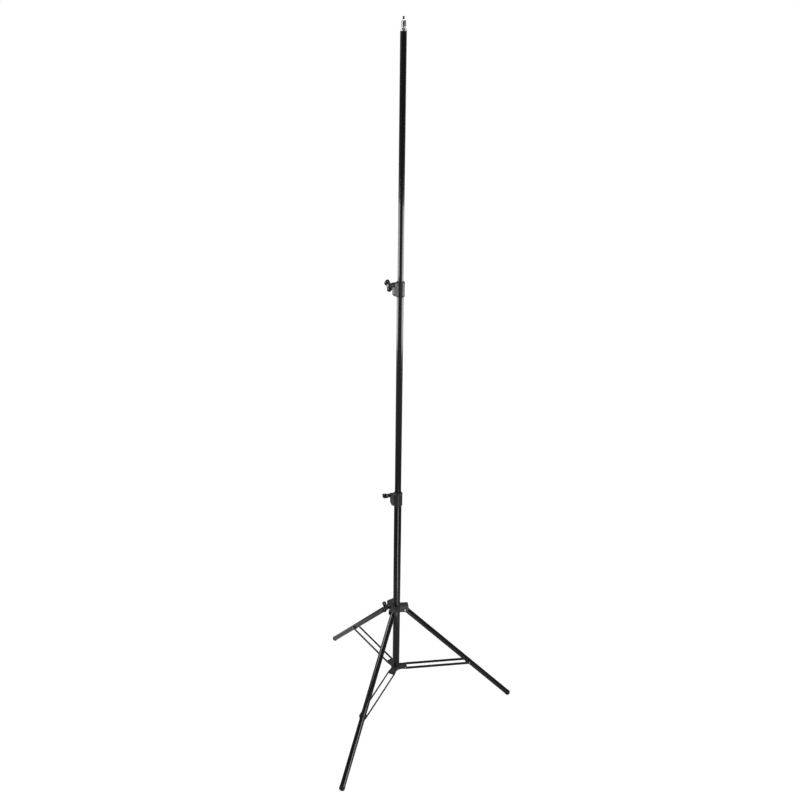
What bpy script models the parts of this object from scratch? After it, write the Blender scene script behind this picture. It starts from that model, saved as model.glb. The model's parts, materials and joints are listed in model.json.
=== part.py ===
"""A folding photographic light stand.

Three round legs hinge on a sliding collar and are held by flat brace
strips from a fixed hub.  A three-section column telescopes through two
screw clamps and ends in a spigot with a threaded stud.  The stand is
modelled open and fully raised, in metres, with +Z up.  The origin lies on
the floor under the middle of the footprint.
"""

import math

import bmesh
import bpy
from mathutils import Vector

GAP = 0.0003  # clearance between pieces that touch on the real stand
EDGE = 0.0010  # usual chamfer on a turned or moulded edge
PAST = 0.0100  # how far a cutter reaches past what it cuts

# Whole stand
HEIGHT = 2.740
LEG_AZIMUTHS = {"front": 270.0, "right": 30.0, "left": 150.0}

# Column: three drawn aluminium tubes, one inside the other
BASE_TUBE_R = 0.0148
BASE_TUBE_WALL = 0.0012
MIDDLE_TUBE_R = 0.0125
MIDDLE_TUBE_WALL = 0.0010
TOP_TUBE_R = 0.0107
TOP_TUBE_WALL = 0.0010
TOP_TUBE_TOP = 2.697
TUBE_OVERLAP = 0.070  # from a clamp's top to the raised tube's lower end
TUBE_STOP = 0.002  # a tube ends this far below the middle of its clamp
PLUG_LENGTH = 0.020

# Clamps on top of the base tube and of the middle tube
CLAMP_HEIGHT = 0.0555
LOWER_CLAMP_Z = 1.002
UPPER_CLAMP_Z = 1.846
CLAMP_WALL = 0.0027
BOSS_REACH = 0.030
BOSS_WIDTH = 0.018
SCREW_BELOW_TOP = 0.0088
BUSH_FLANGE = 0.0016
BUSH_FLANGE_REACH = 0.0022
GLIDE_RIM = 0.0060
GLIDE_PLUG = 0.0150

# Legs
LEG_ANGLE = math.radians(43.8)  # from the vertical, when open
LEG_PIVOT_R = 0.035
LEG_LENGTH = 0.685  # pivot to the middle of the foot
LEG_TUBE_R = 0.011
LEG_TUBE_WALL = 0.0010
LEG_ABOVE_PIVOT = 0.0080
LEG_INSERT_DEPTH = 0.0180
LEG_INSERT_CAP = 0.0020
FOOT_R = 0.0117
FOOT_NOSE = 0.0090
FOOT_HEAD = 0.0080  # from the tube's end to the middle of the nose
FOOT_SHANK = 0.0220
FOOT_CENTRE_Z = 0.0095

# Braces
BRACE_AT = 0.4150  # down the leg from its pivot
BRACE_WIDTH = 0.0120
BRACE_THICK = 0.0018
BRACE_INNER = 0.0130  # inner face of a strip from the leg's plane
SPACER_HALF = BRACE_INNER - GAP
CLIP_HALF_LENGTH = 0.0110
CLIP_WALL = 0.0011
CLIP_MOUTH = 0.0040  # the saddle is open beyond this, on the leg's upper side
CLIP_BOSS_R = 0.0065

# Hub
HUB_Z = 0.1999
HUB_PIVOT_R = 0.039
HUB_REACH = 0.047
HUB_HALF_HEIGHT = 0.0070
HUB_WAIST_R = 0.0190
HUB_FLOOR = 0.0030
HUB_CORNER = 0.0020
HUB_POCKET_RIM = 0.0026
HUB_POCKET_DEPTH = 0.0018
HUB_SCREW_R = 0.0020
HUB_SCREW_HEAD_R = 0.0045
HUB_SCREW_HEAD = 0.0030

# Leg collar
LUG_REACH = 0.050
LUG_HALF_WIDTH = 0.0145
LUG_ROOT_R = 0.0090
LUG_ABOVE = 0.0205
LUG_BELOW = 0.0090
LUG_CORNER_R = 0.0060
SLOT_HALF = LEG_TUBE_R + 0.0006
SLOT_ROOF = 0.0172
SLOT_INNER_R = 0.0193
COLLAR_SLEEVE_R = 0.0190
COLLAR_KNOB_ABOVE = 0.0135
COLLAR_BOSS_HALF = 0.0130
COLLAR_BOSS_ABOVE = 0.0070

# Knobs
KNOB_LENGTH = 0.0295
KNOB_NECK_R = 0.0078
KNOB_SOCKET = 0.0150
WING_HALF = 0.0213
WING_THICK = 0.0156
WING_LOBE_R = 0.0090
WING_ROOT = 0.0130
WING_DIP = 0.0045
SCREW_R = 0.0030
PAD_R = 0.0040
PAD_LENGTH = 0.0044
LOWER_KNOB_AZIMUTH = 216.0
UPPER_KNOB_AZIMUTH = 238.0
COLLAR_KNOB_AZIMUTH = 210.0
LOWER_WING_TURN = -66.0
UPPER_WING_TURN = 42.0
COLLAR_WING_TURN = 20.0

# Pins and rivets
LEG_PIN_R = 0.0030
BRACE_PIN_R = 0.0025
LEG_PIN_HEAD_R = 0.0050
BRACE_PIN_HEAD_R = 0.0042
RIVET_HEAD = 0.0016
RIVET_RIM = 0.4  # part of the head's height before it domes
RIVET_CROWN = 0.62  # radius of the head's flat crown, as a part of the head's

# Spigot
SPIGOT_R = 0.0080
SPIGOT_SHANK = 0.0280
SPIGOT_FLARE = 0.0085
SPIGOT_GROOVE = 0.0012
SPIGOT_HOLE = 0.0150
STUD_R = 0.003175
STUD_LENGTH = 0.0100

# Derived sizes
LEG_PIVOT_Z = FOOT_CENTRE_Z + LEG_LENGTH * math.cos(LEG_ANGLE)
FOOT_SPREAD = LEG_PIVOT_R + LEG_LENGTH * math.sin(LEG_ANGLE)
COLUMN_Y = FOOT_SPREAD / 4  # puts the origin under the middle of the footprint
BRACE_END_R = LEG_PIVOT_R + BRACE_AT * math.sin(LEG_ANGLE)
BRACE_END_Z = LEG_PIVOT_Z - BRACE_AT * math.cos(LEG_ANGLE)
BRACE_LENGTH = math.hypot(BRACE_END_R - HUB_PIVOT_R, BRACE_END_Z - HUB_Z)
BRACE_RISE = math.atan2(BRACE_END_Z - HUB_Z, BRACE_END_R - HUB_PIVOT_R)
BASE_TUBE_BOTTOM = HUB_Z - HUB_HALF_HEIGHT + HUB_FLOOR
BASE_TUBE_TOP = LOWER_CLAMP_Z + CLAMP_HEIGHT / 2 - TUBE_STOP
MIDDLE_TUBE_TOP = UPPER_CLAMP_Z + CLAMP_HEIGHT / 2 - TUBE_STOP
MIDDLE_TUBE_BOTTOM = LOWER_CLAMP_Z + CLAMP_HEIGHT - TUBE_OVERLAP
TOP_TUBE_BOTTOM = UPPER_CLAMP_Z + CLAMP_HEIGHT - TUBE_OVERLAP
SPIGOT_TOP = HEIGHT - STUD_LENGTH
PAD_OUTER = GAP + PAD_LENGTH + GAP  # from the clamped tube to behind the pad


def clear_scene():
    for obj in list(bpy.data.objects):
        bpy.data.objects.remove(obj, do_unlink=True)


def make_material(name, colour, roughness, metallic):
    material = bpy.data.materials.new(name)
    material.use_nodes = True
    shader = material.node_tree.nodes["Principled BSDF"]
    shader.inputs["Base Color"].default_value = (*colour, 1.0)
    shader.inputs["Roughness"].default_value = roughness
    shader.inputs["Metallic"].default_value = metallic
    return material


def gloss_black(name):
    return make_material(name, (0.012, 0.012, 0.013), 0.22, 0.4)


def cast_grey(name):
    return make_material(name, (0.035, 0.036, 0.038), 0.48, 0.0)


def black_plastic(name):
    return make_material(name, (0.010, 0.010, 0.010), 0.38, 0.0)


def bright_steel(name):
    return make_material(name, (0.62, 0.62, 0.63), 0.20, 1.0)


def black_rubber(name):
    return make_material(name, (0.014, 0.014, 0.014), 0.75, 0.0)


def pale_nylon(name):
    return make_material(name, (0.55, 0.54, 0.50), 0.50, 0.0)


def make_pivot(name, location, rotation=(0.0, 0.0, 0.0)):
    """An empty that carries one moving body, placed on its joint's axis."""
    empty = bpy.data.objects.new(name, None)
    bpy.context.collection.objects.link(empty)
    empty.empty_display_size = 0.02
    empty.location = location
    empty.rotation_euler = rotation
    return empty


def link_mesh(name, bm, parent, material=None):
    bmesh.ops.recalc_face_normals(bm, faces=bm.faces)
    mesh = bpy.data.meshes.new(name)
    bm.to_mesh(mesh)
    bm.free()
    mesh.shade_smooth()
    mesh.set_sharp_from_angle(angle=math.radians(35))
    obj = bpy.data.objects.new(name, mesh)
    bpy.context.collection.objects.link(obj)
    obj.parent = parent
    if material is not None:
        mesh.materials.append(material(name))
    return obj


def turned(name, profile, parent, material=None, along="Z", segments=24):
    """Spin a closed profile of (radius, distance along the axis) points."""
    places = {
        "X": lambda r, h: (h, 0.0, r),
        "Y": lambda r, h: (r, h, 0.0),
        "Z": lambda r, h: (r, 0.0, h),
    }
    axes = {"X": (1, 0, 0), "Y": (0, 1, 0), "Z": (0, 0, 1)}
    bm = bmesh.new()
    verts = [bm.verts.new(places[along](r, h)) for r, h in profile]
    edges = []
    for i, vert in enumerate(verts):
        other = verts[(i + 1) % len(verts)]
        on_axis = profile[i][0] == 0 and profile[(i + 1) % len(verts)][0] == 0
        if not on_axis:
            edges.append(bm.edges.new((vert, other)))
    bmesh.ops.spin(
        bm,
        geom=verts + edges,
        cent=(0, 0, 0),
        axis=axes[along],
        angle=2 * math.pi,
        steps=segments,
        use_merge=True,
    )
    bmesh.ops.remove_doubles(bm, verts=bm.verts, dist=1e-6)
    return link_mesh(name, bm, parent, material)


def tube(name, radius, wall, bottom, top, parent, material):
    inner = radius - wall
    profile = [(inner, bottom), (radius, bottom), (radius, top), (inner, top)]
    return turned(name, profile, parent, material)


def rod(name, radius, start, end, parent, material=None, along="Z", segments=12):
    profile = [(0.0, start), (radius, start), (radius, end), (0.0, end)]
    return turned(name, profile, parent, material, along, segments)


def slab(name, outline, start, end, parent, material=None, normal="Z"):
    """Extrude a flat outline from start to end along one axis."""
    places = {
        "X": lambda u, v: (start, u, v),
        "Y": lambda u, v: (u, start, v),
        "Z": lambda u, v: (u, v, start),
    }
    step = {"X": (end - start, 0, 0), "Y": (0, end - start, 0), "Z": (0, 0, end - start)}
    bm = bmesh.new()
    face = bm.faces.new([bm.verts.new(places[normal](u, v)) for u, v in outline])
    grown = bmesh.ops.extrude_face_region(bm, geom=[face])
    moved = [item for item in grown["geom"] if isinstance(item, bmesh.types.BMVert)]
    bmesh.ops.translate(bm, vec=step[normal], verts=moved)
    return link_mesh(name, bm, parent, material)


def arc(centre, radius, start, end, steps):
    """Points on an arc, angles in degrees."""
    points = []
    for i in range(steps + 1):
        angle = math.radians(start + (end - start) * i / steps)
        x = centre[0] + radius * math.cos(angle)
        y = centre[1] + radius * math.sin(angle)
        points.append((x, y))
    return points


def bevel(obj, width, segments=2, angle=40.0):
    modifier = obj.modifiers.new("Bevel", "BEVEL")
    modifier.width = width
    modifier.segments = segments
    modifier.limit_method = "ANGLE"
    modifier.angle_limit = math.radians(angle)
    return obj


def as_guide(obj):
    obj.hide_render = True
    obj.display_type = "WIRE"
    return obj


def combine(obj, other, operation):
    modifier = obj.modifiers.new(operation.title(), "BOOLEAN")
    modifier.operation = operation
    modifier.object = as_guide(other)
    return obj


def join(obj, other):
    return combine(obj, other, "UNION")


def cut(obj, other):
    return combine(obj, other, "DIFFERENCE")


def drill(obj, name, radius, start, end, along):
    return cut(obj, rod(name, radius, start, end, obj.parent, None, along))


def rivet(name, pin_radius, half, head_radius, parent, material):
    """A pin along Y with a domed head at each end."""
    face = half + GAP
    crown = face + RIVET_HEAD
    profile = [
        (0.0, -crown),
        (head_radius * RIVET_CROWN, -crown),
        (head_radius, -face - RIVET_HEAD * RIVET_RIM),
        (head_radius, -face),
        (pin_radius, -face),
        (pin_radius, face),
        (head_radius, face),
        (head_radius, face + RIVET_HEAD * RIVET_RIM),
        (head_radius * RIVET_CROWN, crown),
        (0.0, crown),
    ]
    return turned(name, profile, parent, material, "Y", 12)


# Base: tube, hub and lower clamp


def make_base_tube(base):
    bottom = BASE_TUBE_BOTTOM + GAP
    tube("base_tube", BASE_TUBE_R, BASE_TUBE_WALL, bottom, BASE_TUBE_TOP, base, gloss_black)


def make_base_plug(base):
    """Moulded plug that fills the tube's foot and takes the hub's screw."""
    radius = BASE_TUBE_R - BASE_TUBE_WALL - GAP
    bottom = BASE_TUBE_BOTTOM + GAP
    top = bottom + PLUG_LENGTH
    hole = HUB_SCREW_R + GAP
    hole_top = top - 4 * EDGE
    profile = [
        (hole, bottom),
        (radius, bottom),
        (radius, top - EDGE),
        (radius - EDGE, top),
        (0.0, top),
        (0.0, hole_top),
        (hole, hole_top),
    ]
    turned("base_plug", profile, base, pale_nylon)


def make_hub_screw(base):
    """Pan-head screw from below, through the hub's floor into the plug."""
    seat = HUB_Z - HUB_HALF_HEIGHT - GAP
    head_r = HUB_SCREW_HEAD_R
    low = seat - HUB_SCREW_HEAD
    tip = seat + HUB_FLOOR + 0.75 * PLUG_LENGTH
    profile = [
        (0.0, low),
        (head_r - EDGE, low),
        (head_r, low + EDGE),
        (head_r, seat),
        (HUB_SCREW_R, seat),
        (HUB_SCREW_R, tip - EDGE),
        (HUB_SCREW_R - EDGE, tip),
        (0.0, tip),
    ]
    turned("hub_screw", profile, base, bright_steel, segments=12)


def hub_outline():
    """Three arms with wide concave fillets between them."""
    half = SPACER_HALF
    sin60 = math.sin(math.radians(60))
    fillet = (HUB_WAIST_R * sin60 - half) / (1 - sin60)
    centre_r = (half + fillet) / sin60
    outline = []
    for azimuth in sorted(LEG_AZIMUTHS.values()):
        along = Vector((math.cos(math.radians(azimuth)), math.sin(math.radians(azimuth))))
        side = Vector((-along.y, along.x))
        for edge in (-1, 1):
            outer = along * HUB_REACH + side * (half - HUB_CORNER) * edge
            inner = along * (HUB_REACH - HUB_CORNER) + side * half * edge
            ends = (inner, outer) if edge < 0 else (outer, inner)
            outline.extend((point.x, point.y) for point in ends)
        between = math.radians(azimuth + 60)
        centre = (centre_r * math.cos(between), centre_r * math.sin(between))
        outline.extend(arc(centre, fillet, azimuth + 270, azimuth + 210, 8))
    return outline


def make_hub(base):
    """Cast Y-shaped hub with a blind socket for the base tube."""
    low = HUB_Z - HUB_HALF_HEIGHT
    high = HUB_Z + HUB_HALF_HEIGHT
    hub = slab("hub", hub_outline(), low, high, base, cast_grey)
    bevel(hub, EDGE, 1, 50.0)
    bore = BASE_TUBE_R + GAP
    cut(hub, rod("hub_socket", bore, low + HUB_FLOOR, high + PAST, base, segments=24))
    drill(hub, "hub_screw_hole", HUB_SCREW_R + GAP, low - PAST, high, "Z")
    for side, azimuth in LEG_AZIMUTHS.items():
        turn = make_pivot(f"hub_arm_{side}", (0, 0, HUB_Z), (0, 0, math.radians(azimuth)))
        turn.parent = base
        half = SPACER_HALF - HUB_POCKET_RIM
        inner = HUB_WAIST_R + HUB_POCKET_RIM
        outer = HUB_REACH - HUB_POCKET_RIM
        pocket = [(inner, -half), (outer, -half), (outer, half), (inner, half)]
        top = HUB_HALF_HEIGHT
        cut(hub, slab(f"hub_pocket_{side}", pocket, top - HUB_POCKET_DEPTH, top + PAST, turn))
        reach = BRACE_INNER + PAST
        hole = rod(f"hub_pin_hole_{side}", BRACE_PIN_R + GAP, -reach, reach, turn, None, "Y")
        hole.location = (HUB_PIVOT_R, 0, 0)
        cut(hub, hole)


def make_hub_pin(side, azimuth, base):
    """Rivet on which a pair of brace strips turns."""
    angle = math.radians(azimuth)
    place = (HUB_PIVOT_R * math.cos(angle), HUB_PIVOT_R * math.sin(angle), HUB_Z)
    turn = make_pivot(f"hub_pin_axis_{side}", place, (0, 0, angle))
    turn.parent = base
    half = BRACE_INNER + BRACE_THICK
    rivet(f"hub_pin_{side}", BRACE_PIN_R, half, BRACE_PIN_HEAD_R, turn, bright_steel)


def clamp_boss_outline(bottom, inner):
    """Side view of the screw boss, tapered below the screw."""
    top = bottom + CLAMP_HEIGHT - BUSH_FLANGE - GAP
    reach = BOSS_REACH
    return [
        (inner, bottom + 2 * EDGE),
        (inner + 4 * EDGE, bottom + 2 * EDGE),
        (reach - 4 * EDGE, bottom + 0.0060),
        (reach, bottom + 0.0125),
        (reach, top - 2 * EDGE),
        (reach - 2 * EDGE, top),
        (inner, top),
    ]


def make_clamp(name, tube_r, bottom, azimuth, body, guided_r):
    """Moulded clamp: a sleeve on the tube's end with a boss for the screw."""
    bore = tube_r + GAP
    outer = bore + CLAMP_WALL
    top = bottom + CLAMP_HEIGHT - BUSH_FLANGE - GAP
    profile = [
        (bore, bottom),
        (outer - 2 * EDGE, bottom),
        (outer, bottom + 5 * EDGE),
        (outer, top - EDGE),
        (outer - EDGE, top),
        (bore, top),
    ]
    clamp = turned(name, profile, body, cast_grey)
    turn = make_pivot(f"{name}_boss_axis", (0, 0, 0), (0, 0, math.radians(azimuth)))
    turn.parent = body
    half = BOSS_WIDTH / 2
    inner = bore - 4 * EDGE
    boss = slab(f"{name}_boss", clamp_boss_outline(bottom, inner), -half, half, turn, None, "Y")
    bevel(boss, 3 * EDGE, 3, 50.0)
    join(clamp, boss)
    cut(clamp, rod(f"{name}_bore", bore, bottom - PAST, top + PAST, body, segments=24))
    screw_z = bottom + CLAMP_HEIGHT - SCREW_BELOW_TOP
    holes = (
        (f"{name}_pad_hole", PAD_R + GAP, guided_r + PAD_OUTER + GAP),
        (f"{name}_screw_hole", SCREW_R + GAP, BOSS_REACH + PAST),
    )
    for hole_name, radius, end in holes:
        hole = rod(hole_name, radius, guided_r / 2, end, turn, None, "X")
        hole.location = (0, 0, screw_z)
        cut(clamp, hole)
    return clamp


def make_bush(name, tube_r, guided_r, bottom, azimuth, body):
    """Plastic bush that guides the thinner tube, with a window for the pad."""
    low = bottom + CLAMP_HEIGHT / 2 - TUBE_STOP + GAP
    top = bottom + CLAMP_HEIGHT
    lip = top - BUSH_FLANGE
    inner = guided_r + GAP
    flange_r = tube_r + BUSH_FLANGE_REACH
    edge = EDGE / 2
    profile = [
        (inner, low),
        (tube_r, low),
        (tube_r, lip),
        (flange_r, lip),
        (flange_r, top - edge),
        (flange_r - edge, top),
        (inner + edge, top),
        (inner, top - edge),
    ]
    bush = turned(name, profile, body, black_plastic)
    turn = make_pivot(f"{name}_window_axis", (0, 0, 0), (0, 0, math.radians(azimuth)))
    turn.parent = body
    window = rod(f"{name}_window", PAD_R + GAP, guided_r / 2, BOSS_REACH, turn, None, "X")
    window.location = (0, 0, top - SCREW_BELOW_TOP)
    cut(bush, window)


def make_pad(name, inner, screw_z, azimuth, body):
    """Brake pad that the screw presses on the sliding tube."""
    turn = make_pivot(f"{name}_axis", (0, 0, screw_z), (0, 0, math.radians(azimuth)))
    turn.parent = body
    start = inner + GAP
    rod(name, PAD_R, start, start + PAD_LENGTH, turn, pale_nylon, "X")


def make_glide(name, inner_r, around_r, bottom, body):
    """Guide under a sliding tube: a plug inside it and a wider rim below."""
    rim_r = around_r - GAP
    plug_r = inner_r - GAP
    seat = bottom - GAP
    low = seat - GLIDE_RIM
    top = seat + GLIDE_PLUG
    profile = [
        (0.0, low),
        (rim_r - EDGE, low),
        (rim_r, low + EDGE),
        (rim_r, seat),
        (plug_r, seat),
        (plug_r, top - EDGE),
        (plug_r - EDGE, top),
        (0.0, top),
    ]
    turned(name, profile, body, pale_nylon)


# Knobs


def wing_outline(start):
    """T-shaped handle seen flat: two rounded wings on a tapering neck."""
    end = start + KNOB_LENGTH
    lobe_x = end - WING_LOBE_R
    lobe_y = WING_HALF - WING_LOBE_R
    dip_x = end - WING_DIP
    root = start + WING_ROOT
    outline = [(root, -KNOB_NECK_R)]
    outline += arc((lobe_x, -lobe_y), WING_LOBE_R, 215, 360, 7)
    outline += [(dip_x, -WING_DIP), (dip_x, WING_DIP)]
    outline += arc((lobe_x, lobe_y), WING_LOBE_R, 0, 145, 7)
    outline += [(root, KNOB_NECK_R)]
    return outline


def make_knob(name, pivot_z, azimuth, turn_deg, parent):
    """Black T-shaped knob moulded on a threaded stud."""
    rotation = (math.radians(turn_deg), 0, math.radians(azimuth))
    pivot = make_pivot(f"{name}_pivot", (0, 0, pivot_z), rotation)
    pivot.parent = parent
    start = BOSS_REACH + GAP
    crown = start + KNOB_LENGTH - WING_DIP
    neck_r = KNOB_NECK_R
    flange_r = neck_r + 1.5 * EDGE
    profile = [
        (0.0, start),
        (flange_r, start),
        (flange_r, start + 2 * EDGE),
        (neck_r, start + 4 * EDGE),
        (neck_r, crown - 2 * EDGE),
        (neck_r - 2 * EDGE, crown),
        (0.0, crown + 0.5 * EDGE),
    ]
    knob = turned(name, profile, pivot, black_plastic, "X", 20)
    half = WING_THICK / 2
    wing = slab(f"{name}_wing", wing_outline(start), -half, half, pivot, None, "Y")
    bevel(wing, 2 * EDGE, 2, 50.0)
    join(knob, wing)
    drill(knob, f"{name}_socket", SCREW_R + GAP, start - PAST, start + KNOB_SOCKET, "X")
    return pivot


def make_knob_screw(name, start, pivot):
    end = BOSS_REACH + KNOB_SOCKET
    profile = [
        (0.0, start),
        (SCREW_R - EDGE, start),
        (SCREW_R, start + EDGE),
        (SCREW_R, end),
        (0.0, end),
    ]
    turned(name, profile, pivot, bright_steel, "X", 12)


# Risers


def make_middle_riser():
    riser = make_pivot("middle_riser", (0, COLUMN_Y, 0))
    tube(
        "middle_tube",
        MIDDLE_TUBE_R,
        MIDDLE_TUBE_WALL,
        MIDDLE_TUBE_BOTTOM,
        MIDDLE_TUBE_TOP,
        riser,
        gloss_black,
    )
    around = BASE_TUBE_R - BASE_TUBE_WALL
    inner = MIDDLE_TUBE_R - MIDDLE_TUBE_WALL
    make_glide("middle_glide", inner, around, MIDDLE_TUBE_BOTTOM, riser)
    make_clamp(
        "upper_clamp", MIDDLE_TUBE_R, UPPER_CLAMP_Z, UPPER_KNOB_AZIMUTH, riser, TOP_TUBE_R
    )
    make_bush(
        "upper_bush", MIDDLE_TUBE_R, TOP_TUBE_R, UPPER_CLAMP_Z, UPPER_KNOB_AZIMUTH, riser
    )
    screw_z = UPPER_CLAMP_Z + CLAMP_HEIGHT - SCREW_BELOW_TOP
    make_pad("upper_pad", TOP_TUBE_R, screw_z, UPPER_KNOB_AZIMUTH, riser)
    knob = make_knob("upper_knob", screw_z, UPPER_KNOB_AZIMUTH, UPPER_WING_TURN, riser)
    make_knob_screw("upper_knob_screw", TOP_TUBE_R + PAD_OUTER, knob)


def make_top_riser():
    riser = make_pivot("top_riser", (0, COLUMN_Y, 0))
    tube(
        "top_tube",
        TOP_TUBE_R,
        TOP_TUBE_WALL,
        TOP_TUBE_BOTTOM,
        TOP_TUBE_TOP,
        riser,
        gloss_black,
    )
    around = MIDDLE_TUBE_R - MIDDLE_TUBE_WALL
    make_glide("top_glide", TOP_TUBE_R - TOP_TUBE_WALL, around, TOP_TUBE_BOTTOM, riser)
    make_spigot(riser)
    make_stud(riser)


def make_spigot(riser):
    """Turned and plated spigot: flared foot, groove and 16 mm body."""
    seat = TOP_TUBE_TOP + GAP
    shank_r = TOP_TUBE_R - TOP_TUBE_WALL - GAP
    low = seat - SPIGOT_SHANK
    flare = seat + SPIGOT_FLARE
    groove_r = SPIGOT_R - SPIGOT_GROOVE
    hole_r = STUD_R + GAP
    hole_floor = SPIGOT_TOP - SPIGOT_HOLE
    profile = [
        (0.0, low),
        (shank_r - EDGE, low),
        (shank_r, low + EDGE),
        (shank_r, seat),
        (TOP_TUBE_R, seat),
        (TOP_TUBE_R, seat + 2 * EDGE),
        (SPIGOT_R, flare),
        (groove_r, flare + EDGE),
        (groove_r, flare + 3.5 * EDGE),
        (SPIGOT_R, flare + 4.5 * EDGE),
        (SPIGOT_R, SPIGOT_TOP - 2 * EDGE),
        (SPIGOT_R - 2 * EDGE, SPIGOT_TOP),
        (hole_r, SPIGOT_TOP),
        (hole_r, hole_floor),
        (0.0, hole_floor),
    ]
    turned("spigot", profile, riser, bright_steel)


def make_stud(riser):
    """Quarter-inch stud screwed into the spigot."""
    bottom = SPIGOT_TOP - SPIGOT_HOLE + GAP
    profile = [
        (0.0, bottom),
        (STUD_R, bottom),
        (STUD_R, HEIGHT - EDGE),
        (STUD_R - EDGE, HEIGHT),
        (0.0, HEIGHT),
    ]
    turned("spigot_stud", profile, riser, gloss_black, segments=12)


# Leg collar


def lug_outline():
    """Side view of a lug: flat roof, round outer corner, cut square to the leg."""
    top = LUG_ABOVE
    low = -LUG_BELOW
    corner = (LUG_REACH - LUG_CORNER_R, top - LUG_CORNER_R)
    outline = [(LUG_ROOT_R, low), (LUG_REACH - 10 * EDGE, low), (LUG_REACH, EDGE)]
    outline += arc(corner, LUG_CORNER_R, 0, 90, 5)
    outline += [(LUG_ROOT_R, top)]
    return outline


def slot_outline():
    inner = SLOT_INNER_R
    outer = LUG_REACH + PAST
    low = -LUG_BELOW - PAST
    return [(inner, low), (outer, low), (outer, SLOT_ROOF), (inner, SLOT_ROOF)]


def collar_boss_outline():
    half = COLLAR_BOSS_HALF
    reach = BOSS_REACH
    corner = 4 * EDGE
    return [
        (LUG_ROOT_R, -half),
        (reach - corner, -half),
        (reach, corner - half),
        (reach, half - corner),
        (reach - corner, half),
        (LUG_ROOT_R, half),
    ]


def make_leg_collar(collar):
    """Cast collar: a sleeve on the base tube with three hooded lugs."""
    top = LUG_ABOVE
    low = -LUG_BELOW
    bore = BASE_TUBE_R + GAP
    profile = [
        (bore, low),
        (COLLAR_SLEEVE_R - EDGE, low),
        (COLLAR_SLEEVE_R, low + EDGE),
        (COLLAR_SLEEVE_R, top - EDGE),
        (COLLAR_SLEEVE_R - EDGE, top),
        (bore, top),
    ]
    body = turned("leg_collar", profile, collar, cast_grey)
    turns = {}
    for side, azimuth in LEG_AZIMUTHS.items():
        turn = make_pivot(f"collar_lug_{side}", (0, 0, 0), (0, 0, math.radians(azimuth)))
        turn.parent = collar
        turns[side] = turn
        half = LUG_HALF_WIDTH
        lug = slab(f"collar_lug_{side}_solid", lug_outline(), -half, half, turn, None, "Y")
        bevel(lug, EDGE, 1, 50.0)
        join(body, lug)
    knob_angle = math.radians(COLLAR_KNOB_AZIMUTH)
    boss_turn = make_pivot("collar_boss_axis", (0, 0, 0), (0, 0, knob_angle))
    boss_turn.parent = collar
    half = BOSS_WIDTH / 2
    boss = slab("collar_boss", collar_boss_outline(), -half, half, boss_turn, None, "Y")
    boss.location = (0, 0, COLLAR_BOSS_ABOVE)
    bevel(boss, 2.5 * EDGE, 2, 50.0)
    join(body, boss)
    cut(body, rod("collar_bore", bore, low - PAST, top + PAST, collar, segments=24))
    reach = LUG_HALF_WIDTH + PAST
    for side, turn in turns.items():
        half = SLOT_HALF
        cut(body, slab(f"collar_slot_{side}", slot_outline(), -half, half, turn, None, "Y"))
        hole = rod(f"collar_pin_hole_{side}", LEG_PIN_R + GAP, -reach, reach, turn, None, "Y")
        hole.location = (LEG_PIVOT_R, 0, 0)
        cut(body, hole)
    holes = (
        ("collar_pad_hole", PAD_R + GAP, BASE_TUBE_R + PAD_OUTER + GAP),
        ("collar_screw_hole", SCREW_R + GAP, BOSS_REACH + PAST),
    )
    for name, radius, end in holes:
        hole = rod(name, radius, BASE_TUBE_R / 2, end, boss_turn, None, "X")
        hole.location = (0, 0, COLLAR_KNOB_ABOVE)
        cut(body, hole)


def make_leg_pin(side, azimuth, collar):
    angle = math.radians(azimuth)
    place = (LEG_PIVOT_R * math.cos(angle), LEG_PIVOT_R * math.sin(angle), 0)
    turn = make_pivot(f"leg_pin_axis_{side}", place, (0, 0, angle))
    turn.parent = collar
    rivet(f"leg_pin_{side}", LEG_PIN_R, LUG_HALF_WIDTH, LEG_PIN_HEAD_R, turn, bright_steel)


# Legs: each is modelled hanging straight down from its pivot


def make_leg_tube(side, leg):
    bottom = -LEG_LENGTH + FOOT_HEAD
    top = LEG_ABOVE_PIVOT
    name = f"leg_tube_{side}"
    leg_tube = tube(name, LEG_TUBE_R, LEG_TUBE_WALL, bottom, top, leg, gloss_black)
    reach = LEG_TUBE_R + PAST
    drill(leg_tube, f"leg_pin_hole_{side}", LEG_PIN_R + GAP, -reach, reach, "Y")
    hole = rod(f"leg_cross_hole_{side}", BRACE_PIN_R + GAP, -reach, reach, leg, None, "Y")
    hole.location = (0, 0, -BRACE_AT)
    cut(leg_tube, hole)


def make_leg_insert(side, leg):
    """Plastic plug that closes the leg's top and carries the pivot pin."""
    radius = LEG_TUBE_R - LEG_TUBE_WALL - GAP
    low = -LEG_INSERT_DEPTH
    seat = LEG_ABOVE_PIVOT + GAP
    top = seat + LEG_INSERT_CAP
    cap_r = LEG_TUBE_R - 0.5 * EDGE
    profile = [
        (0.0, low),
        (radius - EDGE, low),
        (radius, low + EDGE),
        (radius, seat),
        (cap_r, seat),
        (cap_r, top - EDGE),
        (cap_r - EDGE, top),
        (0.0, top),
    ]
    insert = turned(f"leg_insert_{side}", profile, leg, black_plastic)
    reach = LEG_TUBE_R + PAST
    drill(insert, f"leg_insert_hole_{side}", LEG_PIN_R + GAP, -reach, reach, "Y")


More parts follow.
